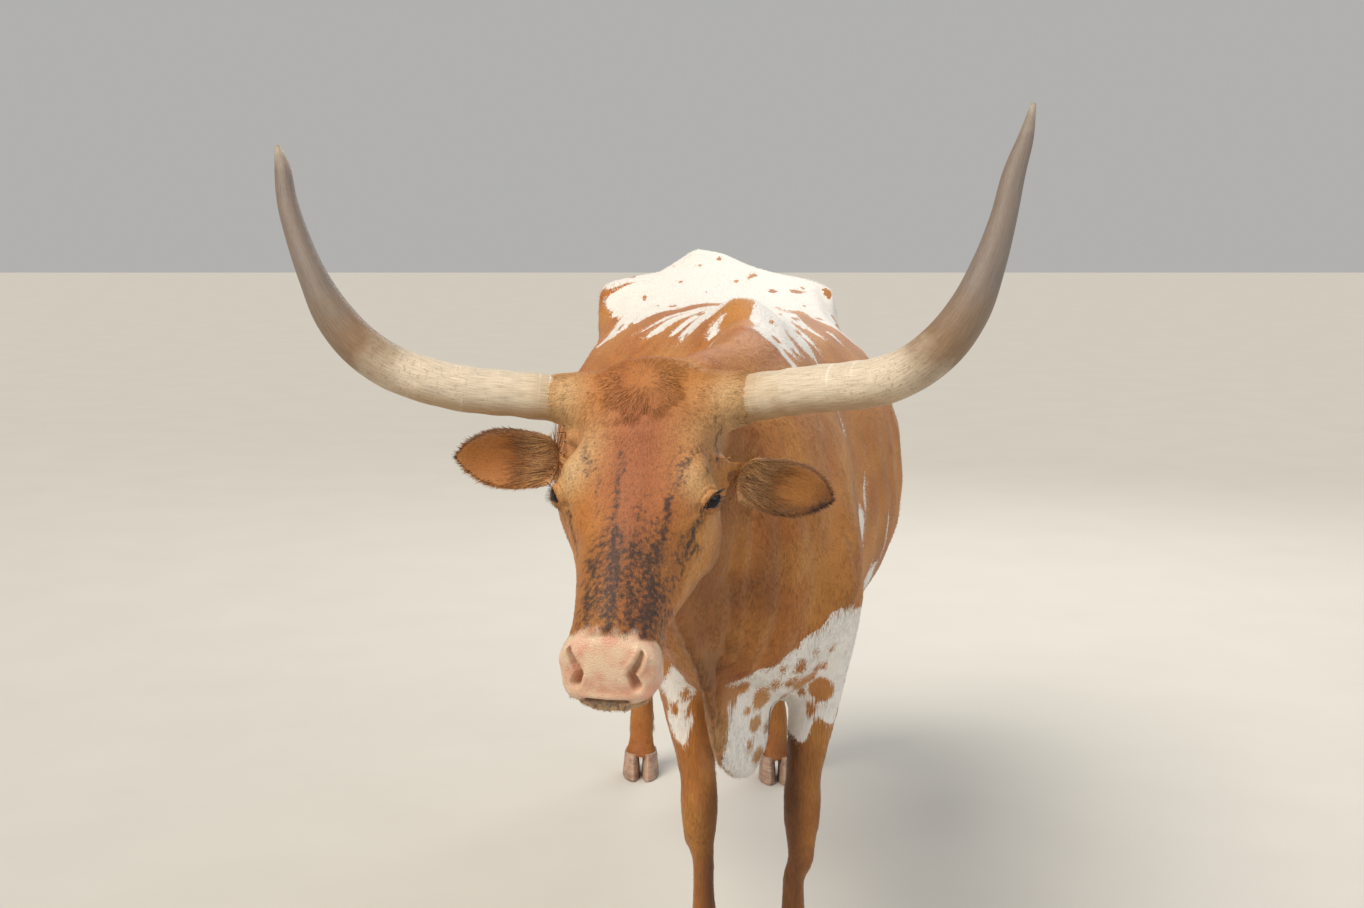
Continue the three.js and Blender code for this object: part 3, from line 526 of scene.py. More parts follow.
    def marked(self, tree: Tree, colour: Any, mark: Any, streaks: Any, coords: Any) -> Any:
        """Lays the white, the dark brindle and the bare pink skin over the brown.

        Returns:
            The node of the colour.
        """
        ragged = add(tree, "Math", {0: streaks, 1: 0.55, 2: mark[0]}, operation="MULTIPLY_ADD")
        edge = add(tree, "MapRange", {"Value": ragged, "From Min": 0.24, "From Max": 0.36})
        clean = add(tree, "MapRange", {
            "Value": streaks, "From Min": 0.3, "From Max": 0.62, "To Min": 0.86, "To Max": 1.02,
        })
        white = add(tree, "VectorMath", {0: linear(self.white)[:3], "Scale": clean}, operation="SCALE")
        down_face = (HEAD.pitch, 0.0, -HEAD.yaw)
        turn = add(tree, "Mapping", {"Vector": coords, "Rotation": down_face}, vector_type="POINT")
        across, lengthwise = 1000.0 / self.brindle_mm, 1000.0 / self.brindle_length_mm
        drawn = add(tree, "VectorMath", {0: turn, 1: (across, lengthwise, across)}, operation="MULTIPLY")
        fleck = add(tree, "TexNoise", {"Vector": drawn, "Scale": 1.0, "Detail": 4.0, "Roughness": 0.65})
        mixed = add(tree, "Mix", {0: 0.72, 2: streaks, 3: fleck}, data_type="FLOAT")
        reached = add(tree, "Math", {0: mark[1], 1: 0.34, 2: mixed}, operation="MULTIPLY_ADD")
        brindle = add(tree, "MapRange", {
            "Value": reached, "From Min": 0.64, "From Max": 0.82, "To Max": 0.88,
        })
        # Rosy patches of the muzzle, 26 mm wide, and its dots, 3.3 mm apart.
        rosy = add(tree, "TexNoise", {"Vector": coords, "Scale": 38.0, "Detail": 3.0})
        blush = add(tree, "MapRange", {"Value": rosy, "From Min": 0.40, "From Max": 0.64})
        dots = add(tree, "TexVoronoi", {"Vector": coords, "Scale": 300.0})
        dotted = add(tree, "MapRange", {"Value": dots, "From Min": 0.22, "From Max": 0.10, "To Max": 0.55})
        muzzle = layered(tree, self.cream, (blush, self.pink), (dotted, self.dot))
        return layered(tree, colour, (edge, white), (brindle, self.dark), (mark[2], muzzle))


@dataclass(frozen=True)
class HornFinish:
    """Horn sheath: dense keratin with a dull polish, ringed and pale at the root, scratched and dark outside.

    The scratches of real horn are finer than 0.2 mm and are drawn 1.4 mm apart, as coarse as shows.
    """

    base: str = "#C8B090"
    cream: str = "#DACBB4"
    ring: str = "#EFE8DA"
    # Darker golden brown, laid as painted shade on the horn's underside near the root.
    gold: str = "#A4783E"
    speckle: str = "#8C7054"
    outer: str = "#81746A"
    tip: str = "#B2A594"
    scratch_mm: float = 1.4
    radius_mm: float = 33.0
    rings: float = 95.0
    name: str = "horn_keratin_weathered"

    def make(self) -> Material:
        """Builds the material."""
        material, tree, shader = new_material(self.name)
        growth = add(tree, "Attribute", attribute_name="growth")
        part = add(tree, "SeparateColor", {"Color": growth}).outputs
        coords = add(tree, "TexCoord").outputs["Object"]
        # Blotches 45 mm wide shift the colours along the horn.
        blotch = add(tree, "TexNoise", {"Vector": coords, "Scale": 22.0, "Detail": 5.0})
        shifted = add(tree, "Math", {0: blotch, 1: 0.16, 2: part[0]}, operation="MULTIPLY_ADD")
        place = add(tree, "Math", {0: shifted, 1: 0.08}, operation="SUBTRACT")
        ramp = add(tree, "ValToRGB", {"Fac": place})
        stops = (
            (0.10, self.base), (0.20, self.cream), (0.40, self.cream), (0.52, self.speckle),
            (0.66, self.outer), (0.93, self.outer), (1.0, self.tip),
        )
        for index, (at, shade) in enumerate(stops):
            stop = ramp.color_ramp.elements[index] if index < 2 else ramp.color_ramp.elements.new(at)
            stop.position = at
            stop.color = linear(shade)
        around = 2.0 * math.pi * self.radius_mm / self.scratch_mm
        drawn = add(tree, "VectorMath", {0: growth, 1: (22.0, around, 0.0)}, operation="MULTIPLY")
        scratch = add(tree, "TexNoise", {"Vector": drawn, "Scale": 1.0, "Detail": 4.0, "Roughness": 0.7})
        banded = add(tree, "VectorMath", {0: growth, 1: (self.rings, 1.2, 0.0)}, operation="MULTIPLY")
        bands = add(tree, "TexNoise", {"Vector": banded, "Scale": 1.0, "Detail": 3.0, "Distortion": 0.2})
        pale_ring = add(tree, "MapRange", {
            "Value": bands, "From Min": 0.60, "From Max": 0.70, "To Max": 0.75,
        })
        inner = add(tree, "MapRange", {"Value": part[0], "From Min": 0.48, "From Max": 0.36})
        ringed = add(tree, "Math", {0: pale_ring, 1: inner}, operation="MULTIPLY")
        # Tan specks 4 mm wide.
        speck = add(tree, "TexNoise", {"Vector": coords, "Scale": 260.0, "Detail": 3.0})
        specked = add(tree, "MapRange", {"Value": speck, "From Min": 0.56, "From Max": 0.72, "To Max": 0.6})
        middle = add(tree, "MapRange", {"Value": part[0], "From Min": 0.12, "From Max": 0.40})
        spotted = add(tree, "Math", {0: specked, 1: middle}, operation="MULTIPLY")
        # Painted shade: the downward-facing side near the root turns darker golden brown.
        under = add(tree, "Math", {0: part[2], 1: inner}, operation="MULTIPLY")
        colour = layered(tree, ramp, (ringed, self.ring), (spotted, self.speckle), (under, self.gold))
        worn = add(tree, "MapRange", {
            "Value": scratch, "From Min": 0.32, "From Max": 0.68, "To Min": 0.66, "To Max": 1.22,
        })
        lit = add(tree, "VectorMath", {0: colour, "Scale": worn}, operation="SCALE")
        dull = add(tree, "MapRange", {"Value": scratch, "To Min": 0.36, "To Max": 0.62})
        height = add(tree, "Math", {0: bands, 1: scratch}, operation="ADD")
        bump = add(tree, "Bump", {"Height": height, "Strength": 0.5, "Distance": 0.0009})
        plug(tree, shader, {"Base Color": lit, "Roughness": dull, "IOR": 1.54, "Normal": bump})
        return material


@dataclass(frozen=True)
class HoofFinish:
    """Hoof horn: pinkish brown, with level growth rings and a dusty wall.

    Its upright fibres are finer than 0.3 mm in life and are drawn 2 mm apart, as coarse as shows.
    """

    wall: str = "#AC8A76"
    dark: str = "#654C40"
    dust: str = "#BBA893"
    ring_mm: float = 4.0
    fibre_mm: float = 2.0
    name: str = "hoof_horn_dusty"

    def make(self) -> Material:
        """Builds the material."""
        material, tree, shader = new_material(self.name)
        coords = add(tree, "TexCoord").outputs["Object"]
        level_scale = (20.0, 20.0, 1000.0 / self.ring_mm)
        upright_scale = (1000.0 / self.fibre_mm, 1000.0 / self.fibre_mm, 25.0)
        level = add(tree, "VectorMath", {0: coords, 1: level_scale}, operation="MULTIPLY")
        rings = add(tree, "TexNoise", {"Vector": level, "Scale": 1.0, "Detail": 2.0})
        upright = add(tree, "VectorMath", {0: coords, 1: upright_scale}, operation="MULTIPLY")
        fibres = add(tree, "TexNoise", {"Vector": upright, "Scale": 1.0})
        # Darker patches 25 mm wide.
        mottle = add(tree, "TexNoise", {"Vector": coords, "Scale": 40.0, "Detail": 4.0})
        darker = add(tree, "MapRange", {"Value": mottle, "From Min": 0.42, "From Max": 0.66, "To Max": 0.8})
        dusty = add(tree, "MapRange", {"Value": rings, "From Min": 0.45, "From Max": 0.7, "To Max": 0.55})
        colour = layered(tree, self.wall, (darker, self.dark), (dusty, self.dust))
        dull = add(tree, "MapRange", {"Value": fibres, "To Min": 0.45, "To Max": 0.7})
        height = add(tree, "Math", {0: rings, 1: fibres}, operation="ADD")
        bump = add(tree, "Bump", {"Height": height, "Strength": 0.5, "Distance": 0.0008})
        plug(tree, shader, {"Base Color": colour, "Roughness": dull, "IOR": 1.54, "Normal": bump})
        return material


@dataclass(frozen=True)
class EyeFinish:
    """A wet eye: a dark brown iris round a level black pupil, under a clear glossy surface."""

    iris: str = "#23140C"
    pupil: str = "#050607"
    white: str = "#5A4A42"
    iris_radius: float = 0.0125
    name: str = "wet_eyeball"

    def make(self) -> Material:
        """Builds the material."""
        material, tree, shader = new_material(self.name)
        gaze = add(tree, "Attribute", attribute_name="gaze").outputs["Vector"]
        spread = add(tree, "VectorMath", {0: gaze}, operation="LENGTH")
        outer = add(tree, "MapRange", {
            "Value": spread, "From Min": self.iris_radius * 0.94, "From Max": self.iris_radius * 1.04,
        })
        # Fibres of the iris, 1.1 mm wide.
        fibres = add(tree, "TexNoise", {"Vector": gaze, "Scale": 900.0, "Detail": 3.0})
        brown = add(tree, "VectorMath", {0: linear(self.iris)[:3], "Scale": fibres}, operation="SCALE")
        level = add(tree, "VectorMath", {0: gaze, 1: (1.0, 1.9, 1.0)}, operation="MULTIPLY")
        reach = add(tree, "VectorMath", {0: level}, operation="LENGTH")
        hole = add(tree, "MapRange", {"Value": reach, "From Min": 0.0088, "From Max": 0.0080})
        colour = layered(tree, brown, (outer, self.white), (hole, self.pupil))
        plug(tree, shader, {"Base Color": colour, "Roughness": 0.05, "IOR": 1.376})
        return material


@dataclass(frozen=True)
class LidFinish:
    """The bare wet edge of the lids: thin dark pinkish skin."""

    pink: str = "#8E5F52"
    dark: str = "#3A2622"
    name: str = "lid_edge_skin"

    def make(self) -> Material:
        """Builds the material."""
        material, tree, shader = new_material(self.name)
        coords = add(tree, "TexCoord").outputs["Object"]
        # Patches 4 mm wide.
        mottle = add(tree, "TexNoise", {"Vector": coords, "Scale": 240.0, "Detail": 2.0})
        share = add(tree, "MapRange", {"Value": mottle, "From Min": 0.4, "From Max": 0.6})
        colour = layered(tree, self.pink, (share, self.dark))
        plug(tree, shader, {"Base Color": colour, "Roughness": 0.32, "IOR": 1.4})
        return material


@dataclass(frozen=True)
class LongHairFinish:
    """Long coarse hair of the switch and the lashes, darker at the root and worn pale at the tip."""

    root: str
    tip: str
    name: str

    def make(self) -> Material:
        """Builds the material."""
        material, tree, shader = new_material(self.name)
        strand = add(tree, "Attribute", attribute_name="strand")
        hair = add(tree, "SeparateColor", {"Color": strand}).outputs
        colour = layered(tree, self.root, (hair[1], self.tip))
        vary = add(tree, "MapRange", {"Value": hair[0], "To Min": 0.6, "To Max": 1.25})
        lit = add(tree, "VectorMath", {0: colour, "Scale": vary}, operation="SCALE")
        plug(tree, shader, {"Base Color": lit, "Roughness": 0.45, "IOR": 1.55})
        return material


# The markings of the hide. Each is a number at a place, the same for the skin and for the tufts' roots.


@dataclass(frozen=True)
class Smear:
    """A long soft mark on the face, from one place to another, as (along, left) from the poll in metres."""

    start: tuple[float, float]
    end: tuple[float, float]
    width: float
    strength: float

    def at(self, along: Rows, left: Rows) -> Rows:
        """How strongly the mark shows at each place."""
        line = np.subtract(self.end, self.start)
        length = np.hypot(*line)
        way = line / length
        reach_along = (along - self.start[0]) * way[0] + (left - self.start[1]) * way[1]
        aside = (left - self.start[1]) * way[0] - (along - self.start[0]) * way[1]
        beyond = np.maximum(np.maximum(-reach_along, reach_along - length), 0.0)
        return self.strength * np.exp(-(aside / self.width) ** 2 - (beyond / (1.6 * self.width)) ** 2)


@dataclass(frozen=True)
class Spot:
    """A brown spot inside a white part, at a body place seen from the front, with its half sizes."""

    side: float
    height: float
    half_width: float
    half_height: float


FACE_BRINDLE = (
    Smear((0.140, -0.016), (0.262, -0.008), 0.008, 0.80),
    Smear((0.245, -0.006), (0.300, -0.002), 0.013, 1.05),
    Smear((0.285, -0.002), (0.385, 0.006), 0.017, 1.00),
    Smear((0.215, 0.018), (0.300, 0.024), 0.006, 0.70),
    Smear((0.300, 0.022), (0.385, 0.032), 0.010, 1.00),
    Smear((0.205, 0.058), (0.275, 0.048), 0.008, 0.95),
    Smear((0.270, 0.046), (0.385, 0.048), 0.017, 1.05),
    Smear((0.118, 0.084), (0.200, 0.058), 0.013, 0.72),
    Smear((0.130, 0.060), (0.190, 0.046), 0.006, 0.60),
    Smear((0.300, -0.036), (0.385, -0.026), 0.013, 1.00),
    Smear((0.262, -0.024), (0.330, -0.020), 0.005, 0.75),
    Smear((0.210, 0.092), (0.262, 0.076), 0.008, 0.90),
    Smear((0.240, 0.076), (0.300, 0.066), 0.006, 0.70),
    Smear((0.208, -0.090), (0.262, -0.070), 0.006, 0.85),
    Smear((0.126, -0.072), (0.160, -0.064), 0.011, 0.72),
    Smear((0.150, -0.050), (0.230, -0.040), 0.006, 0.55),
    Smear((0.070, 0.098), (0.150, 0.100), 0.010, 0.60),
    Smear((0.178, 0.066), (0.196, 0.070), 0.010, 0.60),
    Smear((0.330, 0.062), (0.385, 0.060), 0.006, 0.75),
)
BRISKET_SPOTS = (
    Spot(0.214, 0.694, 0.005, 0.006),
    Spot(0.182, 0.712, 0.004, 0.007),
    Spot(0.160, 0.672, 0.005, 0.006),
    Spot(0.150, 0.640, 0.006, 0.009),
    Spot(0.105, 0.590, 0.006, 0.008),
    Spot(0.140, 0.540, 0.006, 0.008),
    Spot(0.110, 0.530, 0.005, 0.008),
    Spot(0.236, 0.640, 0.005, 0.008),
    Spot(0.200, 0.590, 0.006, 0.010),
    Spot(0.246, 0.680, 0.005, 0.007),
    Spot(0.215, 0.560, 0.008, 0.014),
    Spot(0.004, 0.586, 0.006, 0.010),
    Spot(-0.012, 0.560, 0.007, 0.012),
    Spot(0.012, 0.548, 0.005, 0.009),
    Spot(0.146, 0.700, 0.012, 0.015),
    Spot(0.190, 0.672, 0.008, 0.013),
    Spot(0.128, 0.610, 0.014, 0.027),
    Spot(0.170, 0.600, 0.007, 0.010),
    Spot(0.120, 0.560, 0.010, 0.012),
    Spot(0.098, 0.642, 0.010, 0.014),
    Spot(0.126, 0.500, 0.009, 0.014),
    Spot(0.205, 0.628, 0.022, 0.020),
    Spot(0.232, 0.596, 0.020, 0.022),
    Spot(0.222, 0.655, 0.009, 0.010),
    Spot(0.178, 0.640, 0.010, 0.008),
)


class Markings:
    """Where the hide is white, dark, bare, rust, pale or deep brown, and where shade or light is painted on
    it.
    """

    def __init__(self) -> None:
        """Sets up the seeded noise that breaks the borders."""
        self.flames = Grain(21)
        self.clouds = Grain(22)
        self.flecks = Grain(23)

    @staticmethod
    def region(points: Rows) -> Rows:
        """How much of each place is head and how much is leg, as two columns."""
        local = HEAD.local(points)
        place = HEAD.on_body(points)
        head = fade(local[:, 2], -0.36, -0.24) * fade(-place[:, 1], 0.66, 0.76)
        head *= fade(local[:, 0], -0.08, -0.02)
        leg = fade(-place[:, 2], -0.66, -0.54)
        brisket = fade(-np.abs(place[:, 0] - 0.09), -0.07, -0.04) * fade(-place[:, 1], 0.1, 0.2)
        leg = leg * (1.0 - brisket * fade(place[:, 2], 0.40, 0.47))
        return np.stack([head, leg * (1.0 - head)], axis=1)

    @staticmethod
    def streaked(points: Rows) -> Rows:
        """Which way the streaks of hair run: down the face, straight down, or down and back."""
        head, leg = Markings.region(points).T
        place = HEAD.on_body(points)
        chest = fade(-place[:, 1], 0.36, 0.48) * fade(-place[:, 2], -0.86, -0.72)
        down = np.maximum(leg, chest) * (1.0 - head)
        neck = fade(-place[:, 1], 0.22, 0.46) * (1.0 - down) * (1.0 - head)
        return np.stack([head, down, neck], axis=1)

    def white(self, points: Rows) -> Rows:
        """Signed reach into the white parts: about 1 at 40 mm inside, -1 at 40 mm outside."""
        place = HEAD.on_body(points)
        steps = (1.0, 2.0, 3.0)
        broad = np.stack([self.clouds.at(place + step, 0.09) for step in steps], axis=1)
        small = np.stack([self.flecks.at(place + step, 0.028) for step in steps], axis=1)
        true_x, true_z = place[:, 0], place[:, 2]
        place = place + 0.022 * broad + 0.008 * small
        x, y, z = place.T
        middle = 0.10 - 0.045 * fade(y, 0.1, 0.9)
        flame = self.flames.at(place * (1.0, 1.0, 0.0), (0.9, 0.045, 1.0)) * 0.055
        flame += self.flames.at(place * (1.0, 1.0, 0.0) + 3.0, (0.9, 0.018, 1.0)) * 0.024
        left_side = fade(x - middle, -0.05, 0.05)
        edge = 1.188 - 0.032 * left_side - 0.05 * fade(y, 0.70, 0.95) + flame
        saddle = (z - edge) + 0.03 * fade(y, 0.2, 0.6)
        ridge = 0.020 + 0.032 * fade(-y, 0.22, 0.50) + 0.25 * flame * fade(-y, 0.2, 0.3)
        withers = np.abs(x - 0.092 - 0.03 * (y + 0.3)) - ridge
        saddle = np.minimum(saddle, np.where(y < -0.24, withers, 1.0))
        patch = np.hypot((x - 0.235) / 0.030, (y - 0.18) / 0.10) - 1.0
        saddle = np.minimum(saddle, patch * 0.05)
        saddle = np.where(y < -0.52, -0.2, saddle)
        tan = self.flecks.at(place, (0.016, 0.060, 0.03)) - 0.50
        saddle = np.minimum(saddle, 0.030 - 0.25 * np.maximum(tan, -0.2))
        line = 0.006 + 0.006 * fade(z, 1.0, 1.16) - np.abs(y + 0.135 + 0.55 * (1.12 - z)) * 0.8
        line -= 0.02 * fade(-z, -1.02, -0.97)
        line = np.where((x > 0.2) & (z < 1.2), line, -0.2)
        wave = self.flames.at(place, (0.5, 0.03, 0.12)) * 0.03
        upper = 0.022 - np.hypot(y + 0.100 + 0.3 * (0.83 - z), 0.30 * (z - 0.83)) + wave
        lower = 0.030 - np.hypot(y - 0.045 + 0.5 * (0.74 - z), 0.35 * (z - 0.71)) + wave
        flank = np.where(x > 0.25, np.maximum(upper, lower), -0.2)
        under = 0.60 - z + self.clouds.at(place, (0.09, 0.10, 0.09)) * 0.05
        under = np.where((y > -0.14) & (y < 0.86), under, -0.2)
        heights = (0.46, 0.52, 0.57, 0.625, 0.686, 0.72, 0.745)
        border = np.interp(z, heights, (0.062, 0.066, 0.072, 0.092, 0.112, 0.17, 0.25))
        ragged = self.flames.at(place, (0.03, 0.5, 0.03))
        top = 0.752 - 0.10 * fade(y, -0.30, -0.05) + 0.02 * ragged
        chest = np.minimum(x - border + 0.012 * ragged, top - z)
        before_legs = fade(-np.abs(x - 0.105), -0.075, -0.055) * fade(-y, 0.37, 0.41)
        torn = self.flames.at(place, (0.02, 0.2, 0.05))
        chest = np.minimum(chest, z - 0.535 + 0.6 * before_legs + 0.05 * torn)
        chest = np.where(y < -0.10, chest, -0.2)
        inner = 0.026 - np.hypot(x + 0.002 + 0.25 * (z - 0.56), (z - 0.57) / 2.6)
        inner += 0.014 * self.flames.at(place, (0.02, 0.2, 0.03))
        inner = np.where((y < -0.28) & (x < 0.05), inner, -0.2)
        for spot in BRISKET_SPOTS:
            away = np.hypot((true_x - spot.side) / spot.half_width, (true_z - spot.height) / spot.half_height)
            away = (away - 1.0 + 0.25 * ragged) * 0.5 * (spot.half_width + spot.half_height)
            outside = np.where(y < -0.2, away, 1.0)
            chest, inner = np.minimum(chest, outside), np.minimum(inner, outside)
        reach = np.maximum.reduce([saddle, line, flank, under, chest, inner])
        head = self.region(points)[:, 0]
        return np.clip(reach / 0.04, -1.0, 1.0) * (1.0 - head) - head

    def marks(self, points: Rows) -> Rows:
        """White, dark brindle, bare skin and painted shade in the nostrils and along the crease between the
        lips, as four columns.
        """
        along, left, out = HEAD.local(points).T
        x, y, z = HEAD.on_body(points).T
        head = self.region(points)[:, 0]
        front = fade(out, -0.13, -0.06)
        bent_along = along + 0.010 * self.clouds.at(points, 0.03)
        bent_left = left + 0.006 * self.flecks.at(points, 0.022)
        cloudy = 0.68 + 0.24 * self.clouds.at(points + 5.0, 0.022)
        dark = cloudy * np.exp(-((left - 0.012) / 0.068) ** 4) * fade(along, 0.12, 0.30)
        for smear in FACE_BRINDLE:
            dark = np.maximum(dark, 0.90 * smear.at(bent_along, bent_left))
        dark = dark * front * head
        bare = fade(along + 0.01 * self.flecks.at(points, 0.012), 0.386, 0.400) * head
        bare *= 1.0 - 0.85 * fade(MOUTH.below(points), 0.0, 0.006)
        udder = fade(-np.hypot((x - 0.067) / 0.085, (y - 0.69) / 0.12), -1.0, -0.8) * fade(-z, -0.68, -0.65)
        bare = np.maximum(bare, udder)
        # Painted shade inside the nostrils and along the crease between the lips.
        hollow = np.zeros(len(points))
        for sign in SIDES.values():
            hollow = np.maximum(hollow, fade(-NOSTRIL.gap(points, sign), -0.0005, 0.0045))
        lips = line_distance(points, to_head(MOUTH.line))[0]
        hollow = np.maximum(hollow, 0.85 * np.exp(-(lips / 0.0028) ** 2))
        return np.stack([self.white(points), dark, bare, hollow * head], axis=1)

    def tones(self, points: Rows) -> Rows:
        """Rust, pale and deep brown, as three columns. The pale includes painted light on the chin, and the
        deep brown includes painted shade under the throat and jaw, on the legs' inner sides and down the left
        foreleg.
        """
        along, left, out = HEAD.local(points).T
        x, y, z = HEAD.on_body(points).T
        head, leg = self.region(points).T
        cloud = self.clouds.at(points, (0.05, 0.09, 0.07))
        tuft = 0.45 * np.exp(-(left / 0.085) ** 2 - ((along - 0.05) / 0.09) ** 2)
        tuft += 0.60 * np.exp(-(left / 0.042) ** 2 - ((along - 0.13) / 0.07) ** 2)
        nose = 0.9 * np.exp(-((left - 0.01) / 0.05) ** 2 - ((along - 0.25) / 0.13) ** 2)
        rust = np.clip(tuft + nose, 0, 1) * head * fade(out, -0.09, -0.02)
        horn_base = np.exp(-((np.abs(left) - 0.118) / 0.030) ** 2 - ((along - 0.045) / 0.05) ** 2)
        eye_ring = np.exp(-((np.abs(left) - 0.088) / 0.022) ** 2 - ((along - 0.170) / 0.035) ** 2)
        brow = np.exp(-((left + 0.070) / 0.028) ** 2 - ((along - 0.125) / 0.050) ** 2)
        brow += 0.7 * np.exp(-((left - 0.078) / 0.026) ** 2 - ((along - 0.095) / 0.040) ** 2)
        pale = np.clip(0.75 * horn_base + 0.6 * eye_ring + 0.5 * brow, 0, 1) * head * fade(out, -0.13, -0.06)
        # Painted light: a paler band lifts the shaded underside of the chin below the lip.
        chin = head * fade(along, 0.375, 0.40) * fade(MOUTH.below(points), 0.001, 0.006)
        chin *= fade(out, -0.17, -0.14)
        pale = np.maximum(pale, 0.65 * chin)
        pale = np.maximum(pale, 0.35 * (1.0 - leg) * (1.0 - head) * fade(-z, -0.66, -0.56))
        low = fade(-z, -0.62, -0.40) * leg
        # Painted shade on the legs' inner sides, under the belly.
        inside = fade(-np.abs(x - 0.117), -0.10, -0.07) * leg
        # Painted shade under the throat, between the jaw and the brisket.
        throat_shade = 0.5 * fade(-np.abs(x - 0.03), -0.12, 0.0) * fade(-y, 0.42, 0.55) * (1.0 - head)
        throat_shade *= fade(-z, -0.95, -0.8)
        shoulder = 0.55 * np.exp(-((x - 0.20) / 0.10) ** 2 - ((z - 0.80) / 0.10) ** 2) * fade(-y, 0.30, 0.42)
        shoulder *= 0.6 + 0.8 * np.maximum(cloud, -0.5)
        # Painted shade down the front of the left foreleg.
        shin_shade = 0.6 * np.exp(-((x - 0.155) / 0.035) ** 2) * fade(-z, -0.62, -0.56) * fade(-y, 0.2, 0.3)
        # Painted shade on the sides of the face and under the jaw, with a darker brown down the front of the
        # lower face.
        shaded_jaw_and_darker_face = 0.35 * fade(-out, 0.10, 0.16) * head
        shaded_jaw_and_darker_face += 0.25 * head * fade(along, 0.20, 0.30) * fade(out, -0.08, -0.02)
        deep = 0.30 * low + 0.45 * inside + throat_shade + shoulder + shin_shade + shaded_jaw_and_darker_face + 0.25 * np.maximum(cloud, 0.0)
        return np.stack([rust, pale, np.clip(deep, 0.0, 0.9) * (1.0 - pale)], axis=1)


MARKINGS = Markings()


@dataclass(frozen=True)
class Push:
    """A soft push of the skin round one place."""

    place: Place
    reach: Place
    by: Place


def pushed(rows: Rows, pushes: Iterable[Push]) -> Rows:
    """Moves rows of places by each push, fading with the distance from it."""
    moved = rows.copy()
    for push in pushes:
        away = (rows - push.place) / push.reach
        share = np.exp(-(away ** 2).sum(axis=1))
        moved += share[:, None] * np.asarray(push.by)
    return moved


def to_body(rows: Sequence[Sequence[float]]) -> Rows:
    """Turns body places, counted from the body's floor origin, into frame places."""
    return np.array(rows) + np.array(HEAD.origin)


def to_head(rows: Sequence[Sequence[float]], sign: float = 1.0) -> Rows:
    """Turns head places (along, left, out) into frame places, mirrored to the right where sign is -1."""
    return np.array([HEAD.place(along, sign * left, out) for along, left, out in rows])


def line_distance(points: Rows, line: Rows) -> tuple[Rows, Rows, Rows]:
    """Measures how far places are from a line of straight stretches.

    Args:
        points: Rows of x, y, z.
        line: The line's corners.

    Returns:
        The distance, how far along the line the nearest place is, from 0 to 1, and the nearest place.
    """
    best = np.full(len(points), np.inf)
    reached = np.zeros(len(points))
    foot = np.zeros_like(points)
    stretches = len(line) - 1
    for index, (start, end) in enumerate(zip(line[:-1], line[1:])):
        run = end - start
        t = np.clip((points - start) @ run / (run @ run), 0.0, 1.0)
        away = np.linalg.norm(points - start - t[:, None] * run, axis=1)
        nearer = away < best
        best = np.where(nearer, away, best)
        reached = np.where(nearer, (index + t) / stretches, reached)
        foot = np.where(nearer[:, None], start + t[:, None] * run, foot)
    return best, reached, foot


@dataclass(frozen=True)
class Fold:
    """A soft groove or ridge in the skin along a line. A negative depth makes a ridge."""

    places: tuple[Place, ...]
    width: float
    depth: float


HEAD_FOLDS = (
    Fold(((0.205, 0.088, -0.030), (0.222, 0.082, -0.038), (0.245, 0.078, -0.050)), 0.0026, 0.0022),
    Fold(((0.206, 0.097, -0.040), (0.226, 0.092, -0.050), (0.250, 0.086, -0.064)), 0.0026, 0.0020),
    Fold(((0.205, 0.105, -0.052), (0.228, 0.100, -0.066), (0.252, 0.092, -0.080)), 0.0028, 0.0018),
    Fold(((0.160, 0.084, -0.004), (0.150, 0.098, -0.022), (0.150, 0.106, -0.045)), 0.0035, 0.0022),
    Fold(((0.148, 0.082, -0.002), (0.138, 0.098, -0.022), (0.138, 0.104, -0.050)), 0.0032, 0.0014),
    Fold(((0.235, 0.088, -0.072), (0.300, 0.074, -0.078), (0.350, 0.068, -0.080)), 0.012, -0.0035),
    Fold(((0.250, 0.052, -0.030), (0.310, 0.046, -0.032), (0.375, 0.046, -0.040)), 0.010, 0.0028),
    Fold(((0.100, 0.030, 0.004), (0.170, 0.034, 0.004), (0.230, 0.030, 0.002)), 0.016, 0.0022),
    Fold(((0.398, 0.046, -0.012), (0.385, 0.058, -0.040), (0.388, 0.064, -0.066)), 0.0045, 0.0016),
    Fold(((0.402, 0.030, -0.006), (0.400, 0.000, -0.002), (0.402, -0.030, -0.006)), 0.006, 0.0012),
    Fold(((0.340, 0.060, -0.095), (0.372, 0.058, -0.100), (0.405, 0.060, -0.100)), 0.005, 0.0022),
    Fold(((0.270, 0.072, -0.120), (0.240, 0.080, -0.170), (0.190, 0.086, -0.205)), 0.016, 0.0045),
)
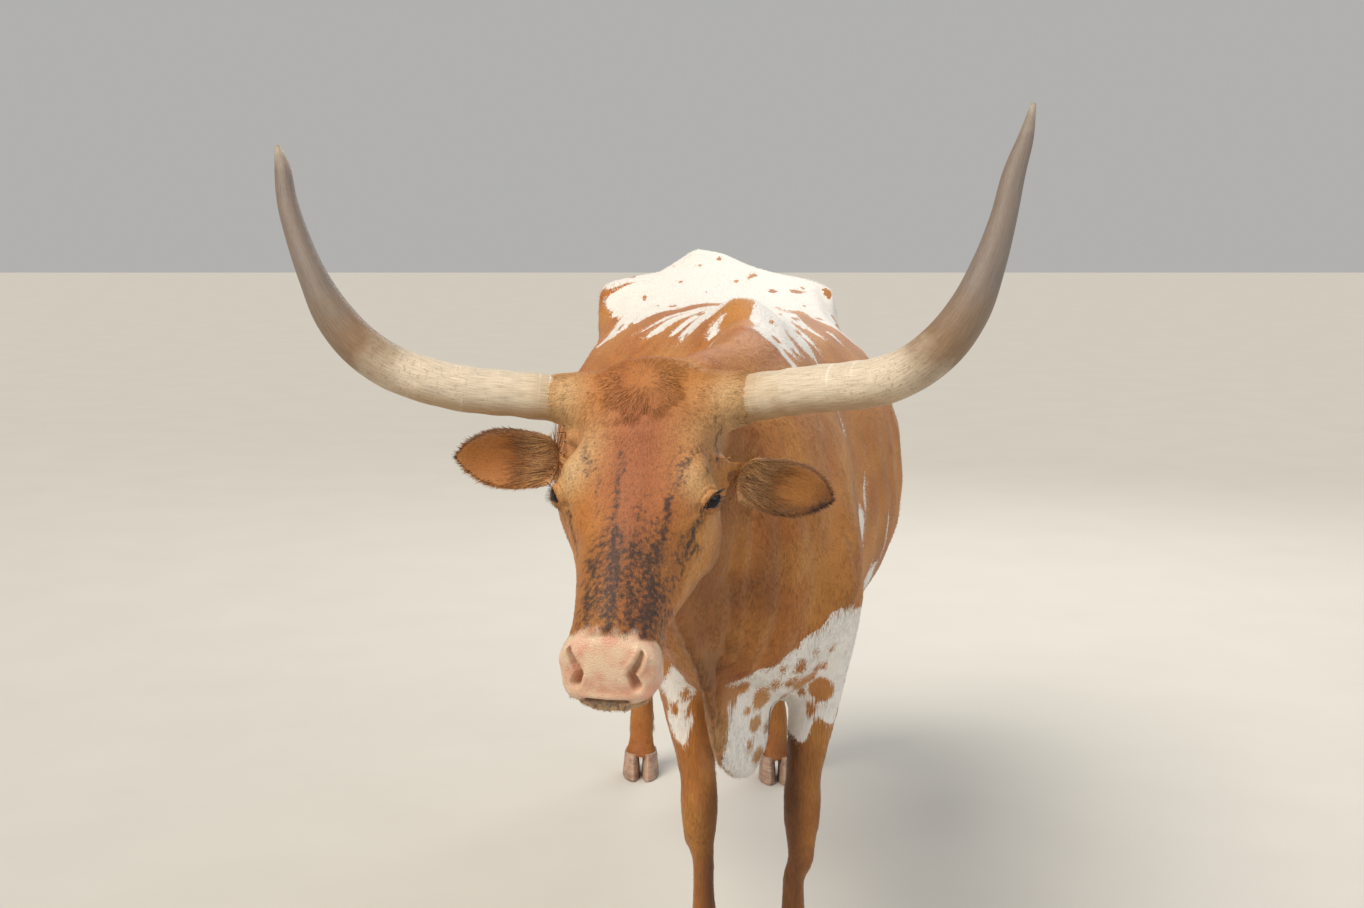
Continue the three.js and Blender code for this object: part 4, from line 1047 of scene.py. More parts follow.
BODY_FOLDS = (
    Fold((
        (0.120, -0.730, 0.960), (0.118, -0.690, 0.840), (0.104, -0.630, 0.720), (0.084, -0.560, 0.580),
    ), 0.012, 0.014),
    Fold((
        (0.165, -0.690, 1.000), (0.160, -0.650, 0.880), (0.146, -0.600, 0.760), (0.112, -0.540, 0.640),
    ), 0.014, 0.012),
    Fold((
        (0.060, -0.720, 0.920), (0.072, -0.670, 0.800), (0.070, -0.600, 0.680), (0.064, -0.530, 0.540),
    ), 0.010, 0.012),
    Fold(((0.020, -0.700, 0.940), (0.030, -0.640, 0.800), (0.046, -0.560, 0.660)), 0.012, 0.011),
    Fold(((-0.020, -0.680, 1.000), (0.000, -0.620, 0.860), (0.030, -0.540, 0.720)), 0.014, 0.010),
    Fold(((0.200, -0.640, 1.040), (0.205, -0.580, 0.900), (0.190, -0.520, 0.780)), 0.018, 0.008),
    Fold(((0.240, -0.480, 0.900), (0.245, -0.440, 0.780), (0.230, -0.430, 0.680)), 0.022, 0.012),
    Fold(((-0.055, -0.480, 0.900), (-0.060, -0.440, 0.780), (-0.045, -0.430, 0.680)), 0.022, 0.012),
    Fold((
        (0.300, -0.260, 1.060), (0.335, -0.200, 0.920), (0.330, -0.200, 0.760), (0.300, -0.240, 0.640),
    ), 0.030, 0.012),
    Fold((
        (-0.110, -0.260, 1.060), (-0.145, -0.200, 0.920), (-0.140, -0.200, 0.760), (-0.110, -0.240, 0.640),
    ), 0.030, 0.012),
    Fold(((0.350, 0.640, 1.060), (0.330, 0.640, 0.940), (0.300, 0.600, 0.800)), 0.040, 0.014),
    Fold(((-0.160, 0.640, 1.060), (-0.150, 0.640, 0.940), (-0.120, 0.600, 0.800)), 0.040, 0.014),
    Fold(((0.330, -0.020, 0.980), (0.365, 0.010, 0.860), (0.350, 0.020, 0.720)), 0.016, 0.004),
    Fold(((0.330, 0.070, 0.980), (0.368, 0.100, 0.860), (0.352, 0.110, 0.720)), 0.016, 0.004),
    Fold(((0.330, 0.160, 0.980), (0.368, 0.190, 0.860), (0.352, 0.200, 0.720)), 0.016, 0.004),
    Fold(((-0.130, -0.020, 0.980), (-0.175, 0.010, 0.860), (-0.160, 0.020, 0.720)), 0.016, 0.004),
    Fold(((-0.130, 0.070, 0.980), (-0.178, 0.100, 0.860), (-0.162, 0.110, 0.720)), 0.016, 0.004),
    Fold(((-0.130, 0.160, 0.980), (-0.178, 0.190, 0.860), (-0.162, 0.200, 0.720)), 0.016, 0.004),
)
HEAD_SWELLS = (
    Push((0.152, 0.088, -0.006), (0.030, 0.022, 0.028), (-0.001, 0.003, 0.004)),
    Push((0.128, 0.112, -0.058), (0.024, 0.020, 0.022), (0.0, -0.006, -0.002)),
    Push((0.442, 0.036, -0.084), (0.022, 0.026, 0.016), (0.003, 0.002, 0.001)),
    Push((0.400, 0.058, -0.055), (0.018, 0.016, 0.022), (0.0, 0.004, 0.002)),
    Push((0.418, 0.058, -0.034), (0.016, 0.010, 0.018), (0.001, 0.004, 0.002)),
    Push((0.205, 0.080, -0.160), (0.055, 0.030, 0.045), (0.0, 0.006, 0.0)),
    Push((0.436, 0.000, -0.126), (0.030, 0.034, 0.014), (0.004, 0.0, -0.003)),
)


@dataclass(frozen=True)
class EyeSeat:
    """One eye: its ball and the opening of its lids. Arc lengths are on the ball, in metres."""

    sign: float
    radius: float = 0.0185
    along: float = 0.184
    left: float = 0.099
    out: float = -0.035
    half_slit: float = 0.0150
    upper: float = 0.0086
    lower: float = 0.0066
    corner: float = 1.65
    lid: float = 0.0024
    bed: float = 0.0030

    @cached_property
    def centre(self) -> Rows:
        """The middle of the ball."""
        return np.array(HEAD.place(self.along, self.sign * self.left, self.out))

    @cached_property
    def gaze(self) -> Rows:
        """The way the eye looks."""
        way = HEAD.left * (0.76 * self.sign) + HEAD.out * 0.52 + HEAD.along * 0.34
        return np.array(way.normalized())

    @cached_property
    def inward(self) -> Rows:
        """Along the slit to the inner corner, near the nose."""
        way = HEAD.left * (-0.51 * self.sign) + HEAD.out * 0.235 + HEAD.along * 0.83
        flat = np.array(way) - np.array(way) @ self.gaze * self.gaze
        return flat / np.linalg.norm(flat)

    @cached_property
    def upward(self) -> Rows:
        """Across the slit to the upper lid."""
        way = np.cross(self.gaze, self.inward)
        return way * np.sign(way @ np.array(HEAD.out - HEAD.along))

    def on_ball(self, points: Rows) -> tuple[Rows, Rows, Rows]:
        """Places as arc lengths along and across the slit, with their distance from the ball's middle."""
        away = points - self.centre
        forward = away @ self.gaze
        side = away @ self.inward
        rise = away @ self.upward
        flat = np.maximum(np.hypot(side, rise), TINY)
        arc = self.radius * np.arctan2(flat, forward)
        return arc * side / flat, arc * rise / flat, np.linalg.norm(away, axis=1)

    def outside(self, side: Rows, rise: Rows) -> Rows:
        """How far an arc place is outside the opening, below 0 within it."""
        height = np.where(rise > 0.0, self.upper, self.lower)
        shape = (np.abs(side / self.half_slit) ** self.corner + np.abs(rise / height) ** self.corner)
        shape = np.maximum(shape ** (1.0 / self.corner), 1e-6)
        return np.hypot(side, rise) * (1.0 - 1.0 / shape)

    def shaped(self, points: Rows) -> Rows:
        """Wraps skin places into lids over the ball."""
        side, rise, distance = self.on_ball(points)
        gap = self.outside(side, rise)
        above = fade(rise, -0.002, 0.004)
        target = self.radius - self.bed + (self.bed + self.lid) * fade(gap, -0.0014, 0.0004)
        target -= 0.0016 * above * np.exp(-((gap - 0.0085) / 0.0018) ** 2)
        target += 0.0012 * above * np.exp(-((gap - 0.0125) / 0.0030) ** 2)
        share = 1.0 - fade(gap, 0.0070, 0.0200)
        near = (distance < 0.060) & ((points - self.centre) @ self.gaze > -0.004)
        share = np.where(near, share, 0.0)
        way = unit(points - self.centre)
        return points + way * (share * (target - distance))[:, None]

    def rim(self, turn: Rows, lift: float) -> Rows:
        """Places round the opening's edge, by angle from the inner corner over the upper lid."""
        height = np.where(np.sin(turn) > 0.0, self.upper, self.lower)
        power = 2.0 / self.corner
        side = self.half_slit * np.sign(np.cos(turn)) * np.abs(np.cos(turn)) ** power
        rise = height * np.sign(np.sin(turn)) * np.abs(np.sin(turn)) ** power
        arc = np.maximum(np.hypot(side, rise), TINY)
        angle = arc / self.radius
        flat = (side / arc)[:, None] * self.inward + (rise / arc)[:, None] * self.upward
        way = np.cos(angle)[:, None] * self.gaze + np.sin(angle)[:, None] * flat
        return self.centre + way * (self.radius + lift)


EYES = tuple(EyeSeat(sign) for sign in SIDES.values())


@dataclass(frozen=True)
class Nostril:
    """A comma-shaped nostril: narrow at the top and wide at the bottom."""

    line: tuple[Place, ...] = (
        (0.404, 0.050, -0.013), (0.418, 0.049, -0.020), (0.431, 0.043, -0.028), (0.441, 0.036, -0.034),
        (0.450, 0.042, -0.046),
    )
    widths: tuple[float, ...] = (0.0018, 0.0040, 0.0068, 0.0072, 0.0080)
    depth: float = 0.020
    rim: float = 0.0026

    def gap(self, points: Rows, sign: float) -> Rows:
        """How far places are outside the opening, below 0 within it."""
        away, reached, _ = line_distance(points, to_head(self.line, sign))
        return away - np.interp(reached, np.linspace(0.0, 1.0, len(self.widths)), self.widths)

    def shaped(self, points: Rows) -> Rows:
        """Sinks the nostrils into the muzzle and raises their rims."""
        moved = points.copy()
        for sign in SIDES.values():
            gap = self.gap(points, sign)
            inward = np.array(-HEAD.out * 0.72 - HEAD.along * 0.62 - HEAD.left * (0.18 * sign))
            sunk = self.depth * fade(-gap, -0.0012, 0.0050)
            wing = np.exp(-((gap - 0.0042) / 0.0032) ** 2)
            upper = fade(-(points - to_head(self.line, sign)[2]) @ np.array(HEAD.along), -0.004, 0.006)
            moved += inward * sunk[:, None] - inward * (self.rim * wing * (0.35 + 0.65 * upper))[:, None]
        return moved


NOSTRIL = Nostril()


@dataclass(frozen=True)
class Mouth:
    """The line between the lips, from one corner round the front to the other."""

    line: tuple[Place, ...] = (
        (0.366, 0.060, -0.099), (0.400, 0.061, -0.091), (0.432, 0.058, -0.080), (0.454, 0.046, -0.070),
        (0.465, 0.022, -0.065), (0.467, 0.000, -0.064), (0.465, -0.022, -0.065), (0.454, -0.046, -0.070),
        (0.432, -0.058, -0.080), (0.400, -0.061, -0.091), (0.366, -0.060, -0.099),
    )
    width: float = 0.0030
    depth: float = 0.0080
    lip: float = 0.0024
    chin_back: float = 0.006
    chin_in: float = 0.12

    def below(self, points: Rows) -> Rows:
        """How far places are below the line between the lips."""
        along, _, out = HEAD.local(points).T
        return -0.064 - 0.035 * fade(-along, -0.460, -0.366) - out

    def shaped(self, points: Rows) -> Rows:
        """Draws the chin back under the upper lip and makes it narrower."""
        along, left, _ = HEAD.local(points).T
        share = fade(self.below(points), 0.001, 0.008) * fade(along, 0.385, 0.430)
        back = np.array(HEAD.along)[None, :] * (-self.chin_back * share)[:, None]
        aside = np.array(HEAD.left)[None, :] * (-self.chin_in * left * share)[:, None]
        return points + back + aside


MOUTH = Mouth()


@dataclass
class Skin:
    """One skin over the whole body, in place of the solids of flesh."""

    voxel: float = 0.0106
    even_rounds: int = 40
    zone_rounds: int = 3
    fill_rounds: int = 24
    head_share: float = 0.35
    coat_depth: float = 0.0035
    pastern_sink: float = 0.011
    face_depth: float = 0.0012
    plug_side: float = 0.150
    horn_radius: float = 0.033

    def solids(self) -> BMesh:
        """Joins copies of the solids of flesh, the eyes and the horns' roots."""
        whole = bmesh.new()
        for name in FLESH_NODES + ("eye_left", "eye_right"):
            self.append(whole, node_copy(name))
        for side, sign in SIDES.items():
            part = node_copy(f"horn_{side}")
            wall = HEAD.beside(sign, self.plug_side, 0.0, 0.0)
            cut = bmesh.ops.bisect_plane(
                part, geom=part.verts[:] + part.edges[:] + part.faces[:], dist=1e-6,
                plane_co=wall, plane_no=HEAD.left * sign, clear_outer=True,
            )
            rim = [item for item in cut["geom_cut"] if isinstance(item, bmesh.types.BMEdge)]
            bmesh.ops.edgeloop_fill(part, edges=rim)
            self.append(whole, part)
        return whole

    @staticmethod
    def append(whole: BMesh, part: BMesh) -> None:
        """Adds one bmesh to another and frees it."""
        carrier = bpy.data.meshes.new("carrier")
        part.to_mesh(carrier)
        part.free()
        whole.from_mesh(carrier)
        bpy.data.meshes.remove(carrier)

    def cast(self) -> Mesh:
        """Turns the joined solids into one even skin."""
        rough = show(mesh_from(self.solids(), "rough"), "rough")
        remesh = rough.modifiers.new("one skin", "REMESH")
        remesh.mode = "VOXEL"
        remesh.voxel_size = self.voxel
        remesh.use_smooth_shade = True
        return baked(rough)

    def build(self) -> Piece:
        """Makes the skin, shapes it and marks it."""
        mesh = self.cast()
        region = MARKINGS.region(read_points(mesh))
        relax(mesh, self.even_rounds, 1.0 - (1.0 - self.head_share) * region[:, 0])
        self.fill(mesh)
        mesh = self.refine(mesh)
        self.settle(mesh)
        self.sculpt(mesh)
        self.mark(mesh)
        mesh.name = "skin"
        return show(mesh, "skin")

    def fill(self, mesh: Mesh) -> None:
        """Flattens the solids' plain nostrils and mouth, as the skin has finer ones of its own."""
        local = HEAD.local(read_points(mesh))
        aside = np.stack([local[:, 0], np.abs(local[:, 1]), local[:, 2]], axis=1)
        nostril = np.linalg.norm(aside - (0.438, 0.045, -0.030), axis=1) < 0.024
        mouth = (np.abs(local[:, 2] + 0.107) < 0.016) & (local[:, 0] > 0.355)
        relax(mesh, self.fill_rounds, (nostril | mouth).astype(float), 0.0)

    def refine(self, mesh: Mesh) -> Mesh:
        """Splits the faces of the head, then of the face, then round the eyes, nostrils and mouth.

        Args:
            mesh: The even skin.

        Returns:
            The skin with the finer head.
        """
        bm = bmesh.new()
        bm.from_mesh(mesh)
        bpy.data.meshes.remove(mesh)
        for zone in (self.head_zone, self.face_zone, self.feature_zone):
            inside = zone(np.array([v.co for v in bm.verts]))
            bm.verts.index_update()
            edges = [e for e in bm.edges if inside[e.verts[0].index] and inside[e.verts[1].index]]
            bmesh.ops.subdivide_edges(bm, edges=edges, cuts=1, use_grid_fill=True)
            bmesh.ops.triangulate(bm, faces=[f for f in bm.faces if len(f.verts) > 4])
            coarse = bpy.data.meshes.new("coarse")
            bm.to_mesh(coarse)
            relax(coarse, self.zone_rounds, zone(read_points(coarse)).astype(float))
            bm.clear()
            bm.from_mesh(coarse)
            bpy.data.meshes.remove(coarse)
        return mesh_from(bm, "skin")

    @staticmethod
    def head_zone(points: Rows) -> Rows:
        """Marks the places that belong to the head."""
        return MARKINGS.region(points)[:, 0] > 0.5

    @staticmethod
    def face_zone(points: Rows) -> Rows:
        """Marks the places round the eyes and on the muzzle."""
        along, left, out = HEAD.local(points).T
        eyes = (np.hypot(along - 0.19, out + 0.035) < 0.062) & (np.abs(left) > 0.05)
        muzzle = (along > 0.375) & (out > -0.135)
        return (MARKINGS.region(points)[:, 0] > 0.9) & (muzzle | eyes)

    @staticmethod
    def feature_zone(points: Rows) -> Rows:
        """Marks the places close round the eyes, the nostrils and the mouth."""
        along, left, out = HEAD.local(points).T
        eyes = (np.hypot(along - 0.184, out + 0.033) < 0.030) & (np.abs(left) > 0.07)
        nostrils = np.minimum(NOSTRIL.gap(points, 1.0), NOSTRIL.gap(points, -1.0)) < 0.011
        mouth = line_distance(points, to_head(MOUTH.line))[0] < 0.010
        return (MARKINGS.region(points)[:, 0] > 0.9) & (eyes | nostrils | mouth)

    def settle(self, mesh: Mesh) -> None:
        """Draws the skin in by the depth of the coat, under the horns at their roots, and into the claws."""
        points = read_points(mesh)
        normals = read_normals(mesh)
        head = MARKINGS.region(points)[:, 0]
        depth = self.coat_depth + (self.face_depth - self.coat_depth) * head
        points = points - normals * depth[:, None]
        ragged = Grain(31).at(points, 0.007) * 0.004
        for sign in SIDES.values():
            horn = Horn(sign)
            away, _, foot = line_distance(points, horn.spine()[:horn.root_rings])
            side = (points - np.array(HEAD.poll)) @ np.array(HEAD.left) * sign
            near = (side > 0.100) & (away < 0.075)
            wanted = self.horn_radius + 0.0045 - 0.0090 * fade(side + ragged, 0.128, 0.146)
            share = fade(side, 0.118, 0.132) * near
            points = points + unit(points - foot) * (share * (np.minimum(wanted, away) - away))[:, None]
        points[:, 2] -= self.pastern_sink * fade(-points[:, 2], -0.115, -0.068)
        write_points(mesh, points)

    def sculpt(self, mesh: Mesh) -> None:
        """Adds the forms of the face, the folds of head and body, the mouth, nostrils and lids."""
        points = read_points(mesh)
        axes = np.array([HEAD.along, HEAD.left, HEAD.out])
        for sign in SIDES.values():
            flip = np.array([1.0, sign, 1.0])
            local = HEAD.local(points) * flip
            points = np.array(HEAD.poll) + (pushed(local, HEAD_SWELLS) * flip) @ axes
        write_points(mesh, points)
        normals = read_normals(mesh)
        depth = np.zeros(len(points))
        for sign, fold in product(SIDES.values(), HEAD_FOLDS):
            away = line_distance(points, to_head(fold.places, sign))[0]
            depth += fold.depth * np.exp(-(away / fold.width) ** 2)
        for fold in BODY_FOLDS:
            away, reached, _ = line_distance(points, self.snapped(points, to_body(fold.places)))
            ends = np.sin(np.pi * np.clip(reached, 0.03, 0.97)) ** 0.5
            depth += fold.depth * np.exp(-(away / fold.width) ** 2) * ends
        away = line_distance(points, to_head(MOUTH.line))[0]
        depth += MOUTH.depth * np.exp(-(away / MOUTH.width) ** 2)
        depth -= MOUTH.lip * np.exp(-((away - 0.008) / 0.005) ** 2)
        points = MOUTH.shaped(points - normals * depth[:, None])
        points = NOSTRIL.shaped(points)
        for eye in EYES:
            points = eye.shaped(points)
        write_points(mesh, points)

    @staticmethod
    def snapped(points: Rows, line: Rows) -> Rows:
        """Moves a line's corners to the nearest places of the skin, with more corners between."""
        steps = np.linspace(0.0, len(line) - 1.0, 5 * len(line))
        finer = np.stack([np.interp(steps, range(len(line)), line[:, axis]) for axis in range(3)], axis=1)
        tree = KDTree(len(points))
        for index, place in enumerate(points):
            tree.insert(place, index)
        tree.balance()
        return np.array([tree.find(place)[0] for place in finer])

    def mark(self, mesh: Mesh) -> None:
        """Stores the markings on the skin."""
        points = read_points(mesh)
        for name, rows in hide_numbers(points).items():
            write_numbers(mesh, name, rows)
        write_numbers(mesh, "strand", np.tile((0.5, 0.6), (len(points), 1)))


@dataclass
class EyeSet:
    """The two eyeballs and the dark wet edges of their lids."""

    segments: int = 48
    rings: int = 32
    iris: float = 0.0125
    cornea: float = 0.0012
    rim_radius: float = 0.00115
    rim_steps: int = 64

    def balls(self) -> Piece:
        """Two glossy balls with a slight bulge over the iris."""
        bm = bmesh.new()
        for eye in EYES:
            turn = Vector(eye.gaze).to_track_quat("Z", "Y").to_matrix().to_4x4()
            made = bmesh.ops.create_uvsphere(
                bm, u_segments=self.segments, v_segments=self.rings, radius=eye.radius,
                matrix=Matrix.Translation(Vector(eye.centre)) @ turn,
            )["verts"]
            for vert in made:
                away = np.array(vert.co) - eye.centre
                facing = away @ eye.gaze / eye.radius
                bulge = self.cornea * float(fade(np.array(facing), 0.72, 0.95))
                vert.co = Vector(eye.centre + away * (1.0 + bulge / eye.radius))
        mesh = mesh_from(bm, "eyeballs")
        points = read_points(mesh)
        rows = np.zeros((len(points), 2))
        for eye in EYES:
            side, rise, distance = eye.on_ball(points)
            mine = distance < 2.0 * eye.radius
            rows[mine] = np.stack([side, rise], axis=1)[mine]
        write_numbers(mesh, "gaze", rows)
        return show(mesh, "eyeballs")

    def rims(self) -> Piece:
        """A thin rounded edge round each opening."""
        bm = bmesh.new()
        turns = np.linspace(0.0, 2.0 * np.pi, self.rim_steps, endpoint=False)
        for eye in EYES:
            radii = [self.rim_radius] * self.rim_steps
            tube(bm, eye.rim(turns, eye.lid * 0.45), radii, 8, Vector(eye.gaze), closed=True)
        bmesh.ops.recalc_face_normals(bm, faces=bm.faces)
        return show(mesh_from(bm, "lid_edges"), "lid_edges")


@dataclass
class Horn:
    """One horn, from its root inside the head to its tip, with growth rings near the root."""

    sign: float
    radius: float = 0.033
    segments: int = 40
    rings: int = 120
    root_rings: int = 24
    ring_depth: float = 0.0007
    ring_pace: float = 1.15

    @property
    def stations(self) -> tuple[tuple[float, float, float, float], ...]:
        """Side, forward and up from the poll, with the share of the full radius."""
        left = (
            (0.076, -0.018, -0.050, 1.0), (0.138, -0.009, -0.040, 1.0), (0.180, 0.002, -0.032, 0.97),
            (0.228, 0.020, -0.023, 0.97), (0.280, 0.035, -0.016, 0.98), (0.329, 0.050, -0.006, 0.97),
            (0.372, 0.060, 0.014, 0.94), (0.411, 0.065, 0.047, 0.92), (0.440, 0.065, 0.088, 0.84),
            (0.463, 0.055, 0.145, 0.67), (0.479, 0.040, 0.203, 0.53), (0.491, 0.020, 0.265, 0.44),
            (0.503, 0.005, 0.308, 0.31), (0.511, -0.014, 0.352, 0.10),
        )
        right = (
            (0.076, -0.018, -0.054, 1.0), (0.138, -0.008, -0.048, 1.0), (0.194, 0.010, -0.041, 0.97),
            (0.256, 0.030, -0.034, 0.98), (0.311, 0.045, -0.021, 0.97), (0.361, 0.055, -0.002, 0.95),
            (0.399, 0.062, 0.024, 0.92), (0.438, 0.065, 0.067, 0.83), (0.471, 0.060, 0.122, 0.62),
            (0.500, 0.045, 0.177, 0.51), (0.521, 0.030, 0.224, 0.44), (0.538, 0.010, 0.279, 0.31),
            (0.551, -0.005, 0.303, 0.12),
        )
        return left if self.sign > 0 else right

    def row(self) -> tuple[Rows, Rows, Rows]:
        """Even steps along the horn: places, radii, and the share of the length."""
        rows = np.array(self.stations)
        steps = np.concatenate([[0.0], np.cumsum(np.linalg.norm(np.diff(rows[:, :3], axis=0), axis=1))])
        share = np.linspace(0.0, 1.0, self.rings)
        smooth = [self.curve(steps, rows[:, column], share * steps[-1]) for column in range(4)]
        places = np.array([HEAD.beside(self.sign, *place) for place in zip(*smooth[:3])])
        return places, smooth[3] * self.radius, share

    @staticmethod
    def curve(steps: Rows, values: Rows, wanted: Rows) -> Rows:
        """Reads a smooth curve through values at uneven steps."""
        slope = np.gradient(values, steps)
        index = np.clip(np.searchsorted(steps, wanted) - 1, 0, len(steps) - 2)
        span = steps[index + 1] - steps[index]
        t = (wanted - steps[index]) / span
        return (
            (2 * t ** 3 - 3 * t ** 2 + 1) * values[index] + (t ** 3 - 2 * t ** 2 + t) * span * slope[index]
            + (3 * t ** 2 - 2 * t ** 3) * values[index + 1] + (t ** 3 - t ** 2) * span * slope[index + 1]
        )

    def spine(self) -> Rows:
        """The places along the horn's middle."""
        return self.row()[0]

    def build(self) -> Piece:
        """Makes the horn as a piece, with places along it and round it for the material."""
        places, radii, share = self.row()
        draws = np.random.default_rng(41 + int(self.sign))
        near_root = 1.0 - fade(share, 0.10, 0.55)
        swell = np.cumsum(draws.uniform(0.4, 1.0, self.rings)) * self.ring_pace
        radii = radii + self.ring_depth * np.sin(swell) * near_root
        bm = bmesh.new()
        tube(bm, places, radii, self.segments, HEAD.forward)
        bmesh.ops.recalc_face_normals(bm, faces=bm.faces)
        name = "horn_surface_left" if self.sign > 0 else "horn_surface_right"
        mesh = mesh_from(bm, name)
        turns = np.tile(np.arange(self.segments) / self.segments, self.rings)
        # The third column says how far each place faces down, for the horn's painted shade.
        under = 0.75 * fade(-read_normals(mesh)[:, 2], 0.1, 0.9)
        write_numbers(mesh, "growth", np.stack([np.repeat(share, self.segments), turns, under], axis=1))
        return show(mesh, name)


@dataclass
class Ear:
    """One ear: the solid's cup made smooth, with a furred back, a paler hollow and a darker tip."""

    sign: float
    length: float = 0.205
    half: float = 0.045
    before_root: float = 0.14
    levels: int = 2

    @property
    def axes(self) -> tuple[Rows, Rows]:
        """The ways from root to tip and across the ear, upwards."""
        root, tip, facing = self.places
        way = np.array((tip - root).normalized())
        across = np.cross(way, np.array(facing))
        return way, across * np.sign(across[2]) / np.linalg.norm(across)

    @property
    def places(self) -> tuple[Vector, Vector, Vector]:
        """The ear's root, its tip and the way that its hollow faces."""
        if self.sign > 0:
            return (
                HEAD.beside(1.0, 0.118, 0.002, -0.146), HEAD.beside(1.0, 0.261, -0.149, -0.207),
                Vector((-0.1, -0.98, -0.15)),
            )
        return (
            HEAD.beside(-1.0, 0.116, 0.018, -0.132), HEAD.beside(-1.0, 0.330, -0.020, -0.137),
            Vector((0.15, -0.98, 0.05)),
        )

    def spread(self, points: Rows) -> tuple[Rows, Rows]:
        """How far places are from root to tip, and across from the lower rim (-1) to the upper (1)."""
        root = np.array(self.places[0])
        way, across = self.axes
        share = (points - root) @ way / self.length + self.before_root
        half = self.half * (0.5 + 0.5 * np.sin(0.62 * np.pi * np.minimum(1.1 * share, 1.0)))
        half = half * np.maximum(1.0 - 0.94 * share ** 6, 0.06)
        return share, (points - root) @ across / half

    def build(self) -> Piece:
        """Makes the ear and marks it."""
        side = "left" if self.sign > 0 else "right"
        rough = show(mesh_from(node_copy(f"ear_{side}"), "rough_ear"), "rough_ear")
        smooth = rough.modifiers.new("smooth", "SUBSURF")
        smooth.levels = smooth.render_levels = self.levels
        mesh = baked(rough)
        relax(mesh, 2, np.ones(len(mesh.vertices)))
        points, normals = read_points(mesh), read_normals(mesh)
        for name, rows in self.numbers(points, normals).items():
            write_numbers(mesh, name, rows)
        mesh.name = f"ear_furred_{side}"
        return show(mesh, mesh.name)

    def lie(self, points: Rows, normals: Rows) -> Rows:
        """The way the ear's hair lies: from root to tip, turning out to the rims."""
        way, across = self.axes
        share, side = self.spread(points)
        ways = way + across * (0.40 * np.clip(side, -1.0, 1.0) * fade(share, 0.10, 0.35))[:, None]
        ways -= (ways * normals).sum(axis=1)[:, None] * normals
        return unit(ways)

    def numbers(self, points: Rows, normals: Rows) -> dict[str, Rows]:
        """The markings of the ear at places with normals."""
        share, across = self.spread(points)
        hollow = fade(normals @ np.array(self.places[2]), -0.1, 0.4)
        tip = fade(share, 0.80, 0.97)
        low_rim = fade(-across, 0.35, 0.80) * fade(share, 0.30, 0.62)
        top_rim = fade(across, 0.70, 1.0)
        shade = 0.75 if self.sign > 0 else 0.05
        dark = np.clip(shade * (tip + low_rim) * (0.35 + 0.65 * hollow), 0.0, 1.0)
        deep = np.clip((0.05 + 0.95 * shade) * (0.8 * tip + 0.8 * low_rim), 0.0, 1.0)
        pale = 0.50 * hollow * (1.0 - tip) * fade(-share, -0.60, -0.20)
        zero = np.zeros(len(points))
        return {
            "marks": np.stack([zero - 1.0, 0.55 * dark, 0.35 * top_rim * (1.0 - tip)], axis=1),
            "tones": np.stack([0.25 * hollow, pale, deep], axis=1),
            "lie": np.zeros((len(points), 3)),
            "strand": np.stack([zero + 0.5, zero + 0.6], axis=1),
        }


@dataclass
class Hooves:
    """Eight claws with rounded edges, and the small claws behind the fetlocks."""

    edge: float = 0.0022
    levels: int = 2
    dewclaw_height: float = 0.118
    dewclaw_length: float = 0.030
    dewclaw_aside: float = 0.015
    dewclaw_radii: tuple[float, ...] = (0.010, 0.0105, 0.008, 0.003)
    lean_in: float = 0.14
    lean_back: float = 0.014

    def claws(self) -> tuple[Piece, list[str]]:
        """The eight claws as one piece, with the names of the solids that it stands for."""
        names = [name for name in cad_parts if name.startswith("claw_")]
        bm = bmesh.new()
        for name in names:
            part = node_copy(name)
            self.taper(part)
            sharp = [e for e in part.edges if len(e.link_faces) == 2 and e.calc_face_angle() > 0.6]
            bmesh.ops.bevel(
                part, geom=sharp, offset=self.edge, segments=2, profile=0.5, affect="EDGES", material=-1,
            )
            Skin.append(bm, part)
        bmesh.ops.triangulate(bm, faces=bm.faces)
        mesh = mesh_from(bm, "hooves")
        relax(mesh, 1, np.ones(len(mesh.vertices)))
        return show(mesh, "hooves"), names

    def taper(self, part: BMesh) -> None:
        """Leans a claw's walls in to a narrower coronet, with the toe sloping back."""
        rows = np.array([v.co for v in part.verts])
        low, high = rows.min(axis=0), rows.max(axis=0)
        middle = (low + high) / 2
        for v in part.verts:
            up = (v.co.z - low[2]) / (high[2] - low[2])
            back = (v.co.y - low[1]) / (high[1] - low[1])
            v.co.x = middle[0] + (v.co.x - middle[0]) * (1.0 - self.lean_in * up)
            v.co.y += self.lean_back * up * (1.0 - back)

    def dewclaws(self, skin: Rows) -> Piece:
        """Two short blunt claws on the skin behind each fetlock.

        Args:
            skin: The skin's places.

        Returns:
            The piece.
        """
        bm = bmesh.new()
        for foot, side in product(("fore", "hind"), SIDES):
            inner = sum(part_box(f"claw_{foot}_{side}_inner"), Vector()) / 2
            outer = sum(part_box(f"claw_{foot}_{side}_outer"), Vector()) / 2
            middle = (inner + outer) / 2
            near = np.hypot(skin[:, 0] - middle.x, skin[:, 1] - middle.y) < 0.12
            ring = skin[near & (np.abs(skin[:, 2] - self.dewclaw_height) < 0.008)]
            across = (ring[:, 0].min() + ring[:, 0].max()) / 2
            for away in (-1.0, 1.0):
                aside = across + away * self.dewclaw_aside
                place = Vector((aside, ring[:, 1].max() - 0.005, self.dewclaw_height))
                way = Vector((away * 0.20, 0.45, -1.0)).normalized()
                spine = np.array([place + way * self.dewclaw_length * t for t in (-0.5, 0.0, 0.35, 0.5)])
                tube(bm, spine, self.dewclaw_radii, 12, Vector((1.0, 0.0, 0.0)))
        bmesh.ops.recalc_face_normals(bm, faces=bm.faces)
        return show(mesh_from(bm, "dewclaws"), "dewclaws")


